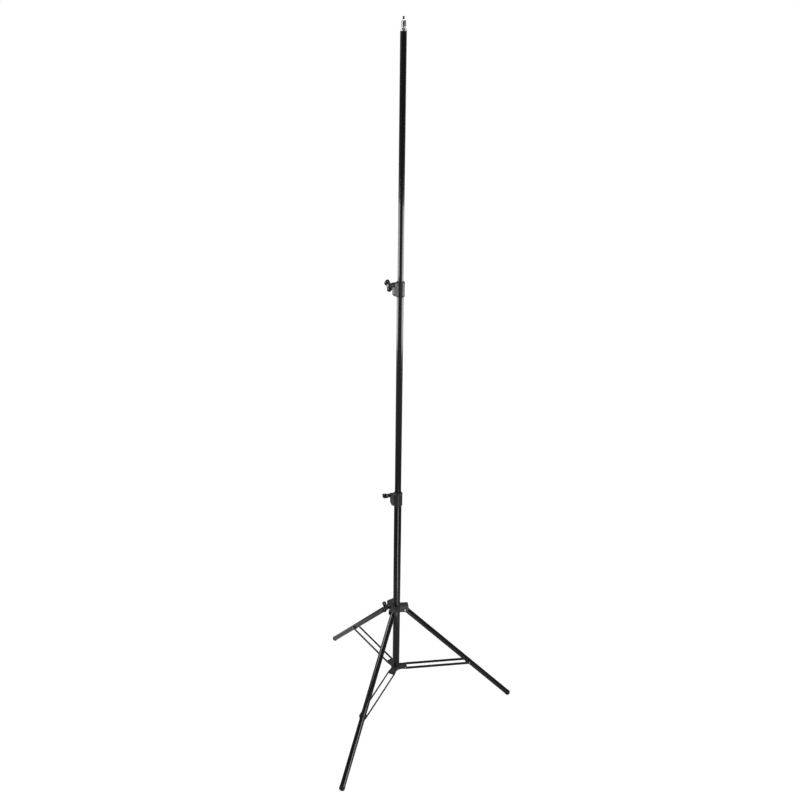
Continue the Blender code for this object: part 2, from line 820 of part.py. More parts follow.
def make_leg_clip(side, leg):
    """Saddle under the leg with a spacer boss on each side for the strips."""
    half = CLIP_HALF_LENGTH
    inner = LEG_TUBE_R + GAP
    outer = inner + CLIP_WALL
    profile = [(inner, -half), (outer, -half), (outer, half), (inner, half)]
    clip = turned(f"leg_clip_{side}", profile, leg, black_plastic)
    clip.location = (0, 0, -BRACE_AT)
    width = SPACER_HALF
    reach = SPACER_HALF + PAST
    boss = rod(f"leg_clip_boss_{side}", CLIP_BOSS_R, -width, width, leg, None, "Y", 16)
    bore = rod(f"leg_clip_bore_{side}", inner, -reach, reach, leg, segments=24)
    pin = rod(f"leg_clip_pin_hole_{side}", BRACE_PIN_R + GAP, -reach, reach, leg, None, "Y")
    opening = [(-reach, -reach), (reach, -reach), (reach, reach), (-reach, reach)]
    mouth = slab(f"leg_clip_mouth_{side}", opening, CLIP_MOUTH, reach, leg, None, "X")
    for guide in (boss, bore, pin, mouth):
        guide.location = (0, 0, -BRACE_AT)
    cut(clip, mouth)
    join(clip, boss)
    cut(clip, bore)
    cut(clip, pin)


def make_cross_pin(side, leg):
    """Pin through the leg and its clip, flush with the spacer bosses."""
    half = SPACER_HALF - GAP / 3
    pin = rod(f"leg_cross_pin_{side}", BRACE_PIN_R, -half, half, leg, bright_steel, "Y")
    pin.location = (0, 0, -BRACE_AT)


def foot_profile():
    """Rubber plug: a shank inside the tube and a head with an elliptical nose."""
    shank_r = LEG_TUBE_R - LEG_TUBE_WALL - GAP
    seat = FOOT_HEAD - GAP
    top = seat + FOOT_SHANK
    profile = [(0.0, top), (shank_r - EDGE, top), (shank_r, top - EDGE)]
    profile += [(shank_r, seat), (FOOT_R - EDGE, seat), (FOOT_R, seat - EDGE)]
    for i in range(6):
        angle = math.radians(18 * i)
        profile.append((FOOT_R * math.cos(angle), -FOOT_NOSE * math.sin(angle)))
    profile[-1] = (0.0, -FOOT_NOSE)
    return profile


def make_foot(side, leg):
    foot = turned(f"leg_foot_{side}", foot_profile(), leg, black_rubber)
    foot.location = (0, 0, -LEG_LENGTH)
    wide = 4 * FOOT_R
    flat = [(-wide, -wide), (wide, -wide), (wide, wide), (-wide, wide)]
    floor = slab(f"leg_sole_{side}", flat, -wide, 0.0, leg)
    floor.location = (0, 0, -LEG_LENGTH)
    floor.rotation_euler = (0, LEG_ANGLE, 0)
    down = Vector((-math.sin(LEG_ANGLE), 0, -math.cos(LEG_ANGLE))) * FOOT_CENTRE_Z
    floor.location += down
    cut(foot, floor)


def make_leg(side, azimuth):
    angle = math.radians(azimuth)
    place = (
        LEG_PIVOT_R * math.cos(angle),
        COLUMN_Y + LEG_PIVOT_R * math.sin(angle),
        LEG_PIVOT_Z,
    )
    leg = make_pivot(f"leg_{side}", place, (0, -LEG_ANGLE, angle))
    make_leg_tube(side, leg)
    make_leg_insert(side, leg)
    make_leg_clip(side, leg)
    make_cross_pin(side, leg)
    make_foot(side, leg)


# Braces: each pair of strips is modelled pointing outward along X


def strip_outline():
    half = BRACE_WIDTH / 2
    near = arc((0, 0), half, 270, 90, 8)
    far = arc((BRACE_LENGTH, 0), half, 90, -90, 8)
    return near + far


def make_strip(name, start, end, brace):
    strip = slab(name, strip_outline(), start, end, brace, gloss_black, "Y")
    hole_r = BRACE_PIN_R + GAP
    drill(strip, f"{name}_hub_hole", hole_r, start - PAST, end + PAST, "Y")
    far = rod(f"{name}_leg_hole", hole_r, start - PAST, end + PAST, brace, None, "Y")
    far.location = (BRACE_LENGTH, 0, 0)
    cut(strip, far)


def make_brace_rivet(name, sign, brace):
    """Rivet head on the strip's outer face, in line with the leg's pin."""
    inner = BRACE_INNER
    face = inner + BRACE_THICK + GAP
    crown = face + RIVET_HEAD
    head_r = BRACE_PIN_HEAD_R
    profile = [
        (0.0, sign * inner),
        (BRACE_PIN_R, sign * inner),
        (BRACE_PIN_R, sign * face),
        (head_r, sign * face),
        (head_r, sign * (face + RIVET_HEAD * RIVET_RIM)),
        (head_r * RIVET_CROWN, sign * crown),
        (0.0, sign * crown),
    ]
    head = turned(name, profile, brace, bright_steel, "Y", 12)
    head.location = (BRACE_LENGTH, 0, 0)


def make_brace(side, azimuth):
    angle = math.radians(azimuth)
    place = (
        HUB_PIVOT_R * math.cos(angle),
        COLUMN_Y + HUB_PIVOT_R * math.sin(angle),
        HUB_Z,
    )
    brace = make_pivot(f"brace_{side}", place, (0, -BRACE_RISE, angle))
    inner = BRACE_INNER
    outer = BRACE_INNER + BRACE_THICK
    make_strip(f"brace_strip_a_{side}", inner, outer, brace)
    make_strip(f"brace_strip_b_{side}", -outer, -inner, brace)
    make_brace_rivet(f"brace_rivet_a_{side}", 1, brace)
    make_brace_rivet(f"brace_rivet_b_{side}", -1, brace)


def make_base():
    base = make_pivot("base", (0, COLUMN_Y, 0))
    make_base_tube(base)
    make_base_plug(base)
    make_hub(base)
    make_hub_screw(base)
    for side, azimuth in LEG_AZIMUTHS.items():
        make_hub_pin(side, azimuth, base)
    make_clamp(
        "lower_clamp", BASE_TUBE_R, LOWER_CLAMP_Z, LOWER_KNOB_AZIMUTH, base, MIDDLE_TUBE_R
    )
    make_bush(
        "lower_bush", BASE_TUBE_R, MIDDLE_TUBE_R, LOWER_CLAMP_Z, LOWER_KNOB_AZIMUTH, base
    )
    screw_z = LOWER_CLAMP_Z + CLAMP_HEIGHT - SCREW_BELOW_TOP
    make_pad("lower_pad", MIDDLE_TUBE_R, screw_z, LOWER_KNOB_AZIMUTH, base)
    knob = make_knob("lower_knob", screw_z, LOWER_KNOB_AZIMUTH, LOWER_WING_TURN, base)
    make_knob_screw("lower_knob_screw", MIDDLE_TUBE_R + PAD_OUTER, knob)


def make_collar():
    collar = make_pivot("leg_collar_slide", (0, COLUMN_Y, LEG_PIVOT_Z))
    make_leg_collar(collar)
    for side, azimuth in LEG_AZIMUTHS.items():
        make_leg_pin(side, azimuth, collar)
    make_pad("collar_pad", BASE_TUBE_R, COLLAR_KNOB_ABOVE, COLLAR_KNOB_AZIMUTH, collar)
    knob = make_knob(
        "collar_knob", COLLAR_KNOB_ABOVE, COLLAR_KNOB_AZIMUTH, COLLAR_WING_TURN, collar
    )
    make_knob_screw("collar_knob_screw", BASE_TUBE_R + PAD_OUTER, knob)


def main():
    clear_scene()
    make_base()
    make_middle_riser()
    make_top_riser()
    make_collar()
    for side, azimuth in LEG_AZIMUTHS.items():
        make_leg(side, azimuth)
        make_brace(side, azimuth)
    bpy.context.view_layer.update()


main()
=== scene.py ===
"""A folding photographic light stand, dressed for its portrait.

The sections follow the stand as it is put together: the studio it stands in,
the hub and the base tube, the leg collar, the two clamps with their bushes and
knobs, the risers, the spigot, the legs with their feet, and the braces.
"""

import json
import math

import bmesh
import bpy
from mathutils import Matrix, Vector


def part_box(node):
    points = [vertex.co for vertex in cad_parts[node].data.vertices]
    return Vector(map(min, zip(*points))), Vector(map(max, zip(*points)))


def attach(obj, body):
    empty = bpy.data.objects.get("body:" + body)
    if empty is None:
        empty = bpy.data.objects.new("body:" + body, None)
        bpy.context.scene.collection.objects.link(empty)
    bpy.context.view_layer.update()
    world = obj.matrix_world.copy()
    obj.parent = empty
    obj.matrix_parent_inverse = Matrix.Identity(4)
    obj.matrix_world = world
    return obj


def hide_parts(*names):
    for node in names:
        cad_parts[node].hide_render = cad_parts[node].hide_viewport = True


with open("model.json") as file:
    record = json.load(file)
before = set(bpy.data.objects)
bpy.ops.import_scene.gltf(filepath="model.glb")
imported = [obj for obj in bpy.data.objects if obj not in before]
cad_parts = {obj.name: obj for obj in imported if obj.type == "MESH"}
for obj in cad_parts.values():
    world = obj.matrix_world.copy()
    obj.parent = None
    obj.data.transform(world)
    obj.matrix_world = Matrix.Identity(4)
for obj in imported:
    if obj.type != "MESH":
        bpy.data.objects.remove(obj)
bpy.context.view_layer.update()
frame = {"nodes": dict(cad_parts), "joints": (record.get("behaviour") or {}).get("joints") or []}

# The studio.  Pale paper on the floor under a white surround.  Soft panels at two
# heights beside the stand draw the white edges on its black tubes; a low strip in
# front, a soft box overhead and dim cards on the floor light the rest.

base_low, base_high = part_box("base_tube")
COLUMN = Vector(((base_low.x + base_high.x) / 2, (base_low.y + base_high.y) / 2, 0.0))
CAMERA_AZIMUTH = math.radians(23.591)
CAMERA_DISTANCE = 2.6514
CAMERA_HEIGHT = 2.5223
CAMERA_TILT = math.radians(67.999)
CAMERA_ROLL = math.radians(-0.665)
CAMERA_TURN = math.radians(23.784)
CAMERA_LENS = 34.372
FLOOR_HALF = 30.0
CARD_HEIGHT = 0.01

PAPER_HEX = "#F4F3F1"
WHITE_HEX = "#FFFFFF"


def linear(hex_colour):
    """An sRGB hex colour as the linear RGBA that a shader takes."""
    values = [int(hex_colour[i:i + 2], 16) / 255 for i in (1, 3, 5)]
    return [v / 12.92 if v <= 0.04045 else ((v + 0.055) / 1.055) ** 2.4 for v in values] + [1.0]


def fill_inputs(tree, target, inputs):
    """Set a node's inputs to values, or link them; a node means its first live output."""
    for key, value in inputs.items():
        if isinstance(value, bpy.types.Node):
            value = next(output for output in value.outputs if output.enabled)
        if isinstance(value, bpy.types.NodeSocket):
            tree.links.new(value, target.inputs[key])
        else:
            target.inputs[key].default_value = value


def node(tree, kind, inputs=None, **settings):
    """Add a shader node with its settings, and fill or link its inputs."""
    new = tree.nodes.new(f"ShaderNode{kind}")
    for name, value in settings.items():
        setattr(new, name, value)
    fill_inputs(tree, new, inputs or {})
    return new


def add_object(name, data):
    """Put a mesh, a lamp or a camera into the scene."""
    obj = bpy.data.objects.new(name, data)
    bpy.context.collection.objects.link(obj)
    return obj


def on_axis(height):
    """The point on the column's axis at a height."""
    return COLUMN + Vector((0, 0, height))


def around(degrees, distance, height):
    """A place round the column, counted from the camera's side to the right."""
    angle = CAMERA_AZIMUTH + math.radians(degrees)
    return COLUMN + Vector((math.sin(angle) * distance, -math.cos(angle) * distance, height))


def studio_surround():
    """White to the eye all round; in the gloss, dim except behind the stand."""
    world = bpy.data.worlds.new("studio_surround")
    bpy.context.scene.world = world
    world.use_nodes = True
    tree = world.node_tree
    tree.nodes.clear()
    white = linear(WHITE_HEX)
    ray = node(tree, "LightPath").outputs
    direction = node(tree, "TexCoord").outputs["Generated"]
    front = around(0, 1, 0) - COLUMN
    facing = node(tree, "VectorMath", {0: direction, 1: front}, operation="DOT_PRODUCT")
    sheen = node(
        tree,
        "MapRange",
        {"Value": facing, "From Min": -0.95, "From Max": -0.30,
         "To Min": 0.30, "To Max": 0.06},
        interpolation_type="SMOOTHSTEP",
    )
    bright = node(tree, "Background", {"Color": white, "Strength": 1.0})
    gloss = node(tree, "Background", {"Color": white, "Strength": sheen})
    fill = node(tree, "Background", {"Color": white, "Strength": 0.40})
    shiny = node(
        tree, "Math", {0: ray["Is Glossy Ray"], 1: ray["Is Transmission Ray"]}, operation="MAXIMUM"
    )
    lit = node(tree, "MixShader", {0: shiny, 1: fill, 2: gloss})
    seen = node(tree, "MixShader", {0: ray["Is Camera Ray"], 1: lit, 2: bright})
    node(tree, "OutputWorld", {"Surface": seen})


def background_paper():
    """Seamless paper: white to the eye, with a faint shadow close to the stand.

    In reflections it shows no lamp light but a painted glow, dim, in rings that draw the soft bands on
    the legs' tubes.
    """
    ramp_end = 20.0
    rings = [(0.6, 0.22), (1.5, 0.05), (3.4, 0.24), (7.0, 0.20), (16.0, 0.08)]  # metres out, level
    shadow_end = 4.0
    near_share = 0.86
    material = bpy.data.materials.new("background_paper")
    material.use_nodes = True
    tree = material.node_tree
    tree.nodes.clear()
    white = linear(WHITE_HEX)
    ray = node(tree, "LightPath").outputs
    place = node(tree, "TexCoord").outputs["Object"]
    away = node(tree, "VectorMath", {0: place}, operation="LENGTH")
    reach = node(tree, "MapRange", {"Value": away, "From Max": ramp_end})
    mirror = node(tree, "ValToRGB", {0: reach})
    stops = mirror.color_ramp.elements
    stops.remove(stops[1])
    for metres, level in rings[1:]:
        stops.new(metres / ramp_end)
    for stop, (metres, level) in zip(stops, rings):
        stop.position = metres / ramp_end
        stop.color = (level, level, level, 1.0)
    share = node(
        tree, "MapRange", {"Value": away, "From Max": shadow_end, "To Min": near_share, "To Max": 1.0}
    )
    eye = node(tree, "Math", {0: ray["Is Camera Ray"], 1: share}, operation="MULTIPLY")
    shiny = node(
        tree, "Math", {0: ray["Is Glossy Ray"], 1: ray["Is Transmission Ray"]}, operation="MAXIMUM"
    )
    sheet = node(tree, "BsdfDiffuse", {"Color": linear(PAPER_HEX)})
    # Painted light: the glow that the paper shows in reflections, ring by ring, in place of lamp light
    # falling on it.
    dim = node(tree, "Emission", {"Color": white, "Strength": mirror})
    glow = node(tree, "Emission", {"Color": white, "Strength": 1.05})
    lit = node(tree, "MixShader", {0: shiny, 1: sheet, 2: dim})
    seen = node(tree, "MixShader", {0: eye, 1: lit, 2: glow})
    node(tree, "OutputMaterial", {"Surface": seen})
    return material


def make_floor():
    bm = bmesh.new()
    bmesh.ops.create_grid(bm, x_segments=1, y_segments=1, size=FLOOR_HALF)
    mesh = bpy.data.meshes.new("floor")
    bm.to_mesh(mesh)
    bm.free()
    mesh.materials.append(background_paper())
    floor = add_object("floor", mesh)
    floor.location = COLUMN


def soft_panel(name, place, turn, width, height, level):
    """A panel whose face glows at the given level, hidden from the camera."""
    data = bpy.data.lights.new(name, "AREA")
    data.shape = "RECTANGLE"
    data.size = width
    data.size_y = height
    data.energy = level * math.pi * width * height
    panel = add_object(name, data)
    panel.location = place
    panel.rotation_euler = turn
    panel.visible_camera = False


def make_lights():
    panels = [
        # name, degrees round, distance, height, height aimed at, width, tall, level
        ("panel_left", -96, 1.5, 1.56, 1.56, 1.73, 0.82, 4.5),
        ("panel_left_front", -56, 1.6, 1.71, 1.71, 0.56, 0.52, 4.5),
        ("panel_right", 90, 1.5, 1.54, 1.54, 2.3, 0.83, 4.5),
        ("high_left", -85, 1.5, 3.32, 3.32, 2.9, 0.80, 3.0),
        ("high_right", 75, 1.5, 3.45, 3.45, 1.9, 0.80, 1.8),
        ("front_strip", 16, 0.875, 0.28, 0.28, 0.16, 0.56, 6.5),
        ("overhead", 0, -0.35, 4.3, 1.0, 1.5, 1.5, 3.6),
    ]
    for name, degrees, distance, height, aim, width, tall, level in panels:
        place = around(degrees, distance, height)
        turn = (on_axis(aim) - place).to_track_quat("-Z", "Y").to_euler()
        soft_panel(name, place, turn, width, tall, level)
    cards = [
        # name, degrees round, distance, wide, deep, level
        ("floor_card_front", 17, 0.74, 0.26, 0.30, 1.1),
        ("floor_card_left", -130, 0.62, 0.50, 0.55, 0.20),
        ("floor_card_right", 55, 0.85, 0.60, 0.60, 0.22),
    ]
    for name, degrees, distance, wide, deep, level in cards:
        face_up = (math.pi, 0.0, CAMERA_AZIMUTH + math.radians(degrees - 90))
        soft_panel(name, around(degrees, distance, CARD_HEIGHT), face_up, wide, deep, level)


def make_camera():
    data = bpy.data.cameras.new("camera")
    data.sensor_width = 36.0
    data.lens = CAMERA_LENS
    data.clip_end = 100.0
    camera = add_object("camera", data)
    camera.location = around(0, CAMERA_DISTANCE, CAMERA_HEIGHT)
    camera.rotation_euler = (CAMERA_TILT, CAMERA_ROLL, CAMERA_TURN)
    bpy.context.scene.camera = camera


studio_surround()
make_floor()
make_lights()
make_camera()
bpy.context.scene.view_settings.view_transform = "Standard"

# The hub.  A small Y-shaped aluminium casting at the foot of the column, painted
# with a fine-texture powder.  Each arm carries one pair of brace strips on a
# rivet, and a pan-head screw from below holds the hub to the base tube's plug.

AZIMUTHS = {"front": 270.0, "right": 30.0, "left": 150.0}
GAP = 0.0003  # clearance between pieces that touch on the real stand
HUB_HALF_HEIGHT = 0.0070
HUB_REACH = 0.0470
HUB_ARM_HALF = 0.0127
HUB_WAIST_R = 0.0190
HUB_FLOOR = 0.0030
HUB_CORNER = 0.0030
HUB_EDGE = 0.0012
HUB_POCKET_DEPTH = 0.0018
HUB_POCKET_RIM = 0.0026
HUB_SCREW_HOLE_R = 0.0023
HUB_RIVET_HALF = 0.0148
RIVET_R = 0.0025
RIVET_HEAD_R = 0.0042
RIVET_HEAD = 0.0016
RIVET_RIM = 0.35  # part of the head's height below its dome
RIVET_HOLE_R = 0.0028
BASE_TUBE_R = (base_high.x - base_low.x) / 2
joint_of = {joint["child"]: joint for joint in frame["joints"]}
HUB_Z = joint_of["brace_front"]["pos_m"][2]
HUB_PIVOT_R = (Vector(joint_of["brace_front"]["pos_m"]) - COLUMN).xy.length

CAST_HEX = "#2A2A2B"
CAST_WORN_HEX = "#5A5C5F"
ZINC_HEX = "#B9BCC1"
NYLON_HEX = "#CFCABC"
NYLON_FLOW_HEX = "#BDB6A4"


def new_finish(name):
    """Start a finish: the material, its tree, its shader and the place on the piece."""
    material = bpy.data.materials.new(name)
    material.use_nodes = True
    tree = material.node_tree
    place = node(tree, "TexCoord").outputs["Object"]
    return material, tree, tree.nodes["Principled BSDF"], place


def texture_powder_coat():
    """Fine-texture powder coat on a die casting: matt, pebbled, rubbed on its edges."""
    grit = 0.0009  # the real grit is about 0.3 mm; drawn coarser so that it shows
    patch = 0.016667
    material, tree, shader, place = new_finish("texture_powder_coat")
    pebble = node(tree, "TexNoise", {"Vector": place, "Scale": 1 / grit, "Detail": 3.0})
    cloud = node(tree, "TexNoise", {"Vector": place, "Scale": 1 / patch, "Detail": 2.0})
    edge = node(tree, "NewGeometry").outputs["Pointiness"]
    rub = node(tree, "MapRange", {"Value": edge, "From Min": 0.535, "From Max": 0.62, "To Max": 0.35})
    patchy = node(tree, "Math", {0: rub, 1: cloud}, operation="MULTIPLY")
    colour = node(
        tree, "Mix", {0: patchy, 6: linear(CAST_HEX), 7: linear(CAST_WORN_HEX)}, data_type="RGBA"
    )
    rough = node(tree, "MapRange", {"Value": pebble, "To Min": 0.30, "To Max": 0.46})
    bump = node(tree, "Bump", {"Height": pebble, "Strength": 0.35, "Distance": 0.0002})
    fill_inputs(tree, shader, {"Base Color": colour, "Roughness": rough, "Normal": bump})
    return material


def zinc_plate():
    """Zinc-plated steel: a bright, slightly milky metal with a faint mottle."""
    spangle = 0.0012  # this and the grain are finer on real plating; drawn to show
    grain_size = 0.0011111
    material, tree, shader, place = new_finish("zinc_plate")
    mottle = node(tree, "TexVoronoi", {"Vector": place, "Scale": 1 / spangle})
    grain = node(tree, "TexNoise", {"Vector": place, "Scale": 1 / grain_size, "Detail": 4.0})
    mixed = node(tree, "Math", {0: mottle, 1: grain}, operation="MULTIPLY")
    rough = node(tree, "MapRange", {"Value": mixed, "From Max": 0.5, "To Min": 0.18, "To Max": 0.42})
    fill_inputs(tree, shader, {"Base Color": linear(ZINC_HEX), "Metallic": 1.0, "Roughness": rough})
    return material


def natural_nylon():
    """Unpigmented moulded nylon: waxy and pale, with flow clouds from the mould."""
    flow = 0.0055556
    material, tree, shader, place = new_finish("natural_nylon")
    cloud = node(tree, "TexNoise", {"Vector": place, "Scale": 1 / flow, "Distortion": 1.5})
    colour = node(
        tree, "Mix", {0: cloud, 6: linear(NYLON_HEX), 7: linear(NYLON_FLOW_HEX)}, data_type="RGBA"
    )
    fill_inputs(tree, shader, {"Base Color": colour, "Roughness": 0.42, "IOR": 1.53})
    return material


powder_coat = texture_powder_coat()
zinc = zinc_plate()
nylon = natural_nylon()


def rounded(outline, radius, steps=3):
    """The outline with each corner off the axis turned into a small curve."""
    points = []
    for i, (x, y) in enumerate(outline):
        before = Vector(outline[i - 1])
        corner = Vector((x, y))
        after = Vector(outline[(i + 1) % len(outline)])
        back = before - corner
        on = after - corner
        reach = min(radius, back.length * 0.45, on.length * 0.45)
        if abs(x) < 1e-9 or reach < 1e-6:
            points.append((x, y))
            continue
        first = corner + back.normalized() * reach
        last = corner + on.normalized() * reach
        for step in range(steps + 1):
            t = step / steps
            point = first * (1 - t) ** 2 + corner * 2 * t * (1 - t) + last * t ** 2
            points.append((point.x, point.y))
    return points


def add_turned(bm, profile, segments, place=Matrix.Identity(4)):
    """Spin a closed profile of (radius, height) about Z and set it in place."""
    rings = []
    for radius, height in profile:
        if abs(radius) < 1e-9:
            rings.append([bm.verts.new(place @ Vector((0, 0, height)))])
            continue
        ring = []
        for i in range(segments):
            angle = 2 * math.pi * i / segments
            point = Vector((radius * math.cos(angle), radius * math.sin(angle), height))
            ring.append(bm.verts.new(place @ point))
        rings.append(ring)
    for k, ring in enumerate(rings):
        other = rings[(k + 1) % len(rings)]
        for i in range(segments):
            corners = [ring[i % len(ring)], ring[(i + 1) % len(ring)]]
            corners += [other[(i + 1) % len(other)], other[i % len(other)]]
            corners = list(dict.fromkeys(corners))
            if len(corners) > 2:
                bm.faces.new(corners)


def add_slab(bm, outline, start, end, place=Matrix.Identity(4)):
    """Extrude an outline in XZ from start to end along Y and set it in place."""
    near = [bm.verts.new(place @ Vector((x, start, z))) for x, z in outline]
    far = [bm.verts.new(place @ Vector((x, end, z))) for x, z in outline]
    bm.faces.new(near)
    bm.faces.new(far[::-1])
    for i, vert in enumerate(near):
        j = (i + 1) % len(near)
        bm.faces.new((vert, far[i], far[j], near[j]))


def shade(mesh, sharp=35.0):
    """Shade a mesh smooth, and keep the edges above an angle in degrees crisp."""
    mesh.shade_smooth()
    mesh.set_sharp_from_angle(angle=math.radians(sharp))


def to_object(name, bm, finish=None, sharp=35.0):
    """Close a mesh into a smooth-shaded object with its finish."""
    bmesh.ops.recalc_face_normals(bm, faces=bm.faces)
    mesh = bpy.data.meshes.new(name)
    bm.to_mesh(mesh)
    bm.free()
    shade(mesh, sharp)
    if finish is not None:
        mesh.materials.append(finish)
    return add_object(name, mesh)


def turned(name, profile, segments, finish, place=Matrix.Identity(4), sharp=35.0):
    """One piece, spun about its axis."""
    bm = bmesh.new()
    add_turned(bm, profile, segments, place)
    return to_object(name, bm, finish, sharp)


def modify(obj, kind, **settings):
    """Add a modifier with its settings."""
    modifier = obj.modifiers.new(kind.lower(), kind)
    for name, value in settings.items():
        setattr(modifier, name, value)


def apply_modifiers(obj):
    """Turn an object's modifiers into its mesh."""
    graph = bpy.context.evaluated_depsgraph_get()
    mesh = bpy.data.meshes.new_from_object(obj.evaluated_get(graph))
    obj.modifiers.clear()
    obj.data = mesh


def settle(obj):
    """Turn an object's modifiers into its mesh, and shade it anew."""
    apply_modifiers(obj)
    shade(obj.data)


def weigh_normals(obj):
    """Let large faces set the shading, so that flats stay flat up to their edges."""
    modify(obj, "WEIGHTED_NORMAL", keep_sharp=True)
    apply_modifiers(obj)


def round_edges(obj, width, segments):
    """Round the edges that turn by more than 50 degrees."""
    limit = math.radians(50)
    modify(obj, "BEVEL", width=width, segments=segments, limit_method="ANGLE", angle_limit=limit)
    settle(obj)


def join(obj, other, operation):
    """Add another object to this one, or cut it out, and delete it."""
    modify(obj, "BOOLEAN", operation=operation, object=other)
    settle(obj)
    bpy.data.objects.remove(other, do_unlink=True)


def carve(obj, bm):
    """Cut the solids in bm out of an object."""
    join(obj, to_object(f"{obj.name}_cutter", bm), "DIFFERENCE")


def turn_about_z(degrees, origin):
    return Matrix.Translation(origin) @ Matrix.Rotation(math.radians(degrees), 4, "Z")


LIE_ALONG_Y = Matrix.Rotation(math.radians(-90), 4, "X")  # also lays a slab flat


def rod_profile(radius, start, end):
    return [(0.0, start), (radius, start), (radius, end), (0.0, end)]


def through(radius, reach=0.03):
    """A rod that reaches past both sides of what it cuts."""
    return rod_profile(radius, -reach, reach)


def hub_plan():
    """Three arms with wide fillets between them, seen from above."""
    sin60 = math.sin(math.radians(60))
    fillet = (HUB_WAIST_R * sin60 - HUB_ARM_HALF) / (1 - sin60)
    centre_r = (HUB_ARM_HALF + fillet) / sin60
    plan = []
    for azimuth in sorted(AZIMUTHS.values()):
        turn = Matrix.Rotation(math.radians(azimuth), 2)
        for sign in (-1, 1):
            centre = (HUB_REACH - HUB_CORNER, sign * (HUB_ARM_HALF - HUB_CORNER))
            for step in range(5):
                angle = math.radians(22.5 * step - (90 if sign < 0 else 0))
                x = centre[0] + HUB_CORNER * math.cos(angle)
                y = centre[1] + HUB_CORNER * math.sin(angle)
                plan.append(tuple(turn @ Vector((x, y))))
        between = math.radians(azimuth + 60)
        centre = (centre_r * math.cos(between), centre_r * math.sin(between))
        for step in range(13):
            angle = math.radians(azimuth + 270 - 60 * step / 12)
            plan.append((centre[0] + fillet * math.cos(angle), centre[1] + fillet * math.sin(angle)))
    return plan


def make_hub():
    centre = on_axis(HUB_Z)
    upright = Matrix.Translation(centre)
    bm = bmesh.new()
    add_slab(bm, hub_plan(), -HUB_HALF_HEIGHT, HUB_HALF_HEIGHT, upright @ LIE_ALONG_Y)
    hub = to_object("hub_casting", bm, powder_coat)
    round_edges(hub, HUB_EDGE, 3)
    bm = bmesh.new()
    seat = rod_profile(BASE_TUBE_R + GAP, HUB_FLOOR - HUB_HALF_HEIGHT, 2 * HUB_HALF_HEIGHT)
    add_turned(bm, seat, 64, upright)
    add_turned(bm, rod_profile(HUB_SCREW_HOLE_R, -0.02, 0.0), 24, upright)
    for azimuth in AZIMUTHS.values():
        arm = turn_about_z(azimuth, centre)
        pin = arm @ Matrix.Translation((HUB_PIVOT_R, 0, 0)) @ LIE_ALONG_Y
        add_turned(bm, through(RIVET_HOLE_R), 24, pin)
    carve(hub, bm)
    inner = HUB_WAIST_R + HUB_POCKET_RIM
    outer = HUB_REACH - HUB_POCKET_RIM
    half = HUB_ARM_HALF - HUB_POCKET_RIM
    pocket = rounded([(inner, -half), (outer, -half), (outer, half), (inner, half)], HUB_CORNER, 4)
    past = 0.004
    for azimuth in AZIMUTHS.values():
        arm_flat = turn_about_z(azimuth, centre) @ LIE_ALONG_Y
        for start in (-HUB_HALF_HEIGHT - past, HUB_HALF_HEIGHT - HUB_POCKET_DEPTH):
            bm = bmesh.new()
            add_slab(bm, pocket, start, start + past + HUB_POCKET_DEPTH, arm_flat)
            carve(hub, bm)
    weigh_normals(hub)
    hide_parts("hub")
    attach(hub, "base")


def rivet_head(head_r, face):
    """Outline of a domed head on a face, from its rim to its top."""
    outline = [(head_r, face)]
    for step in range(6):
        angle = math.radians(18 * step)
        radius = head_r * math.cos(angle) if step < 5 else 0.0
        rise = RIVET_HEAD * (RIVET_RIM + (1 - RIVET_RIM) * math.sin(angle))
        outline.append((radius, face + rise))
    return outline


def make_rivets(part, pin_r, head_r, reach, body):
    """A steel rivet across the part on each side, domed over at both ends."""
    upper = [(pin_r, reach)] + rivet_head(head_r, reach)
    profile = [(r, -h) for r, h in reversed(upper)] + upper
    for side, azimuth in AZIMUTHS.items():
        low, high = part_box(f"{part}_pin_{side}")
        place = turn_about_z(azimuth, (low + high) / 2) @ LIE_ALONG_Y
        rivet = turned(f"{part}_rivet_{side}", profile, 32, zinc, place)
        weigh_normals(rivet)
        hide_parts(f"{part}_pin_{side}")
        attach(rivet, body)


def dress(node_name, finish):
    """Give a carried-over solid its finish."""
    mesh = frame["nodes"][node_name].data
    mesh.materials.clear()
    mesh.materials.append(finish)


make_hub()
make_rivets("hub", RIVET_R, RIVET_HEAD_R, HUB_RIVET_HALF + GAP, "base")
dress("hub_screw", zinc)
dress("base_plug", nylon)

# The base tube.  Drawn aluminium tube, 30 mm class, stove-enamelled gloss black.
# Its foot is plugged and sits in the hub, and the collar slides up and down it.

BASE_TUBE_WALL = 0.0012
TUBE_EDGE = 0.0004

BLACK_HEX = "#0D0D0E"
BLACK_CLOUD_HEX = "#121214"


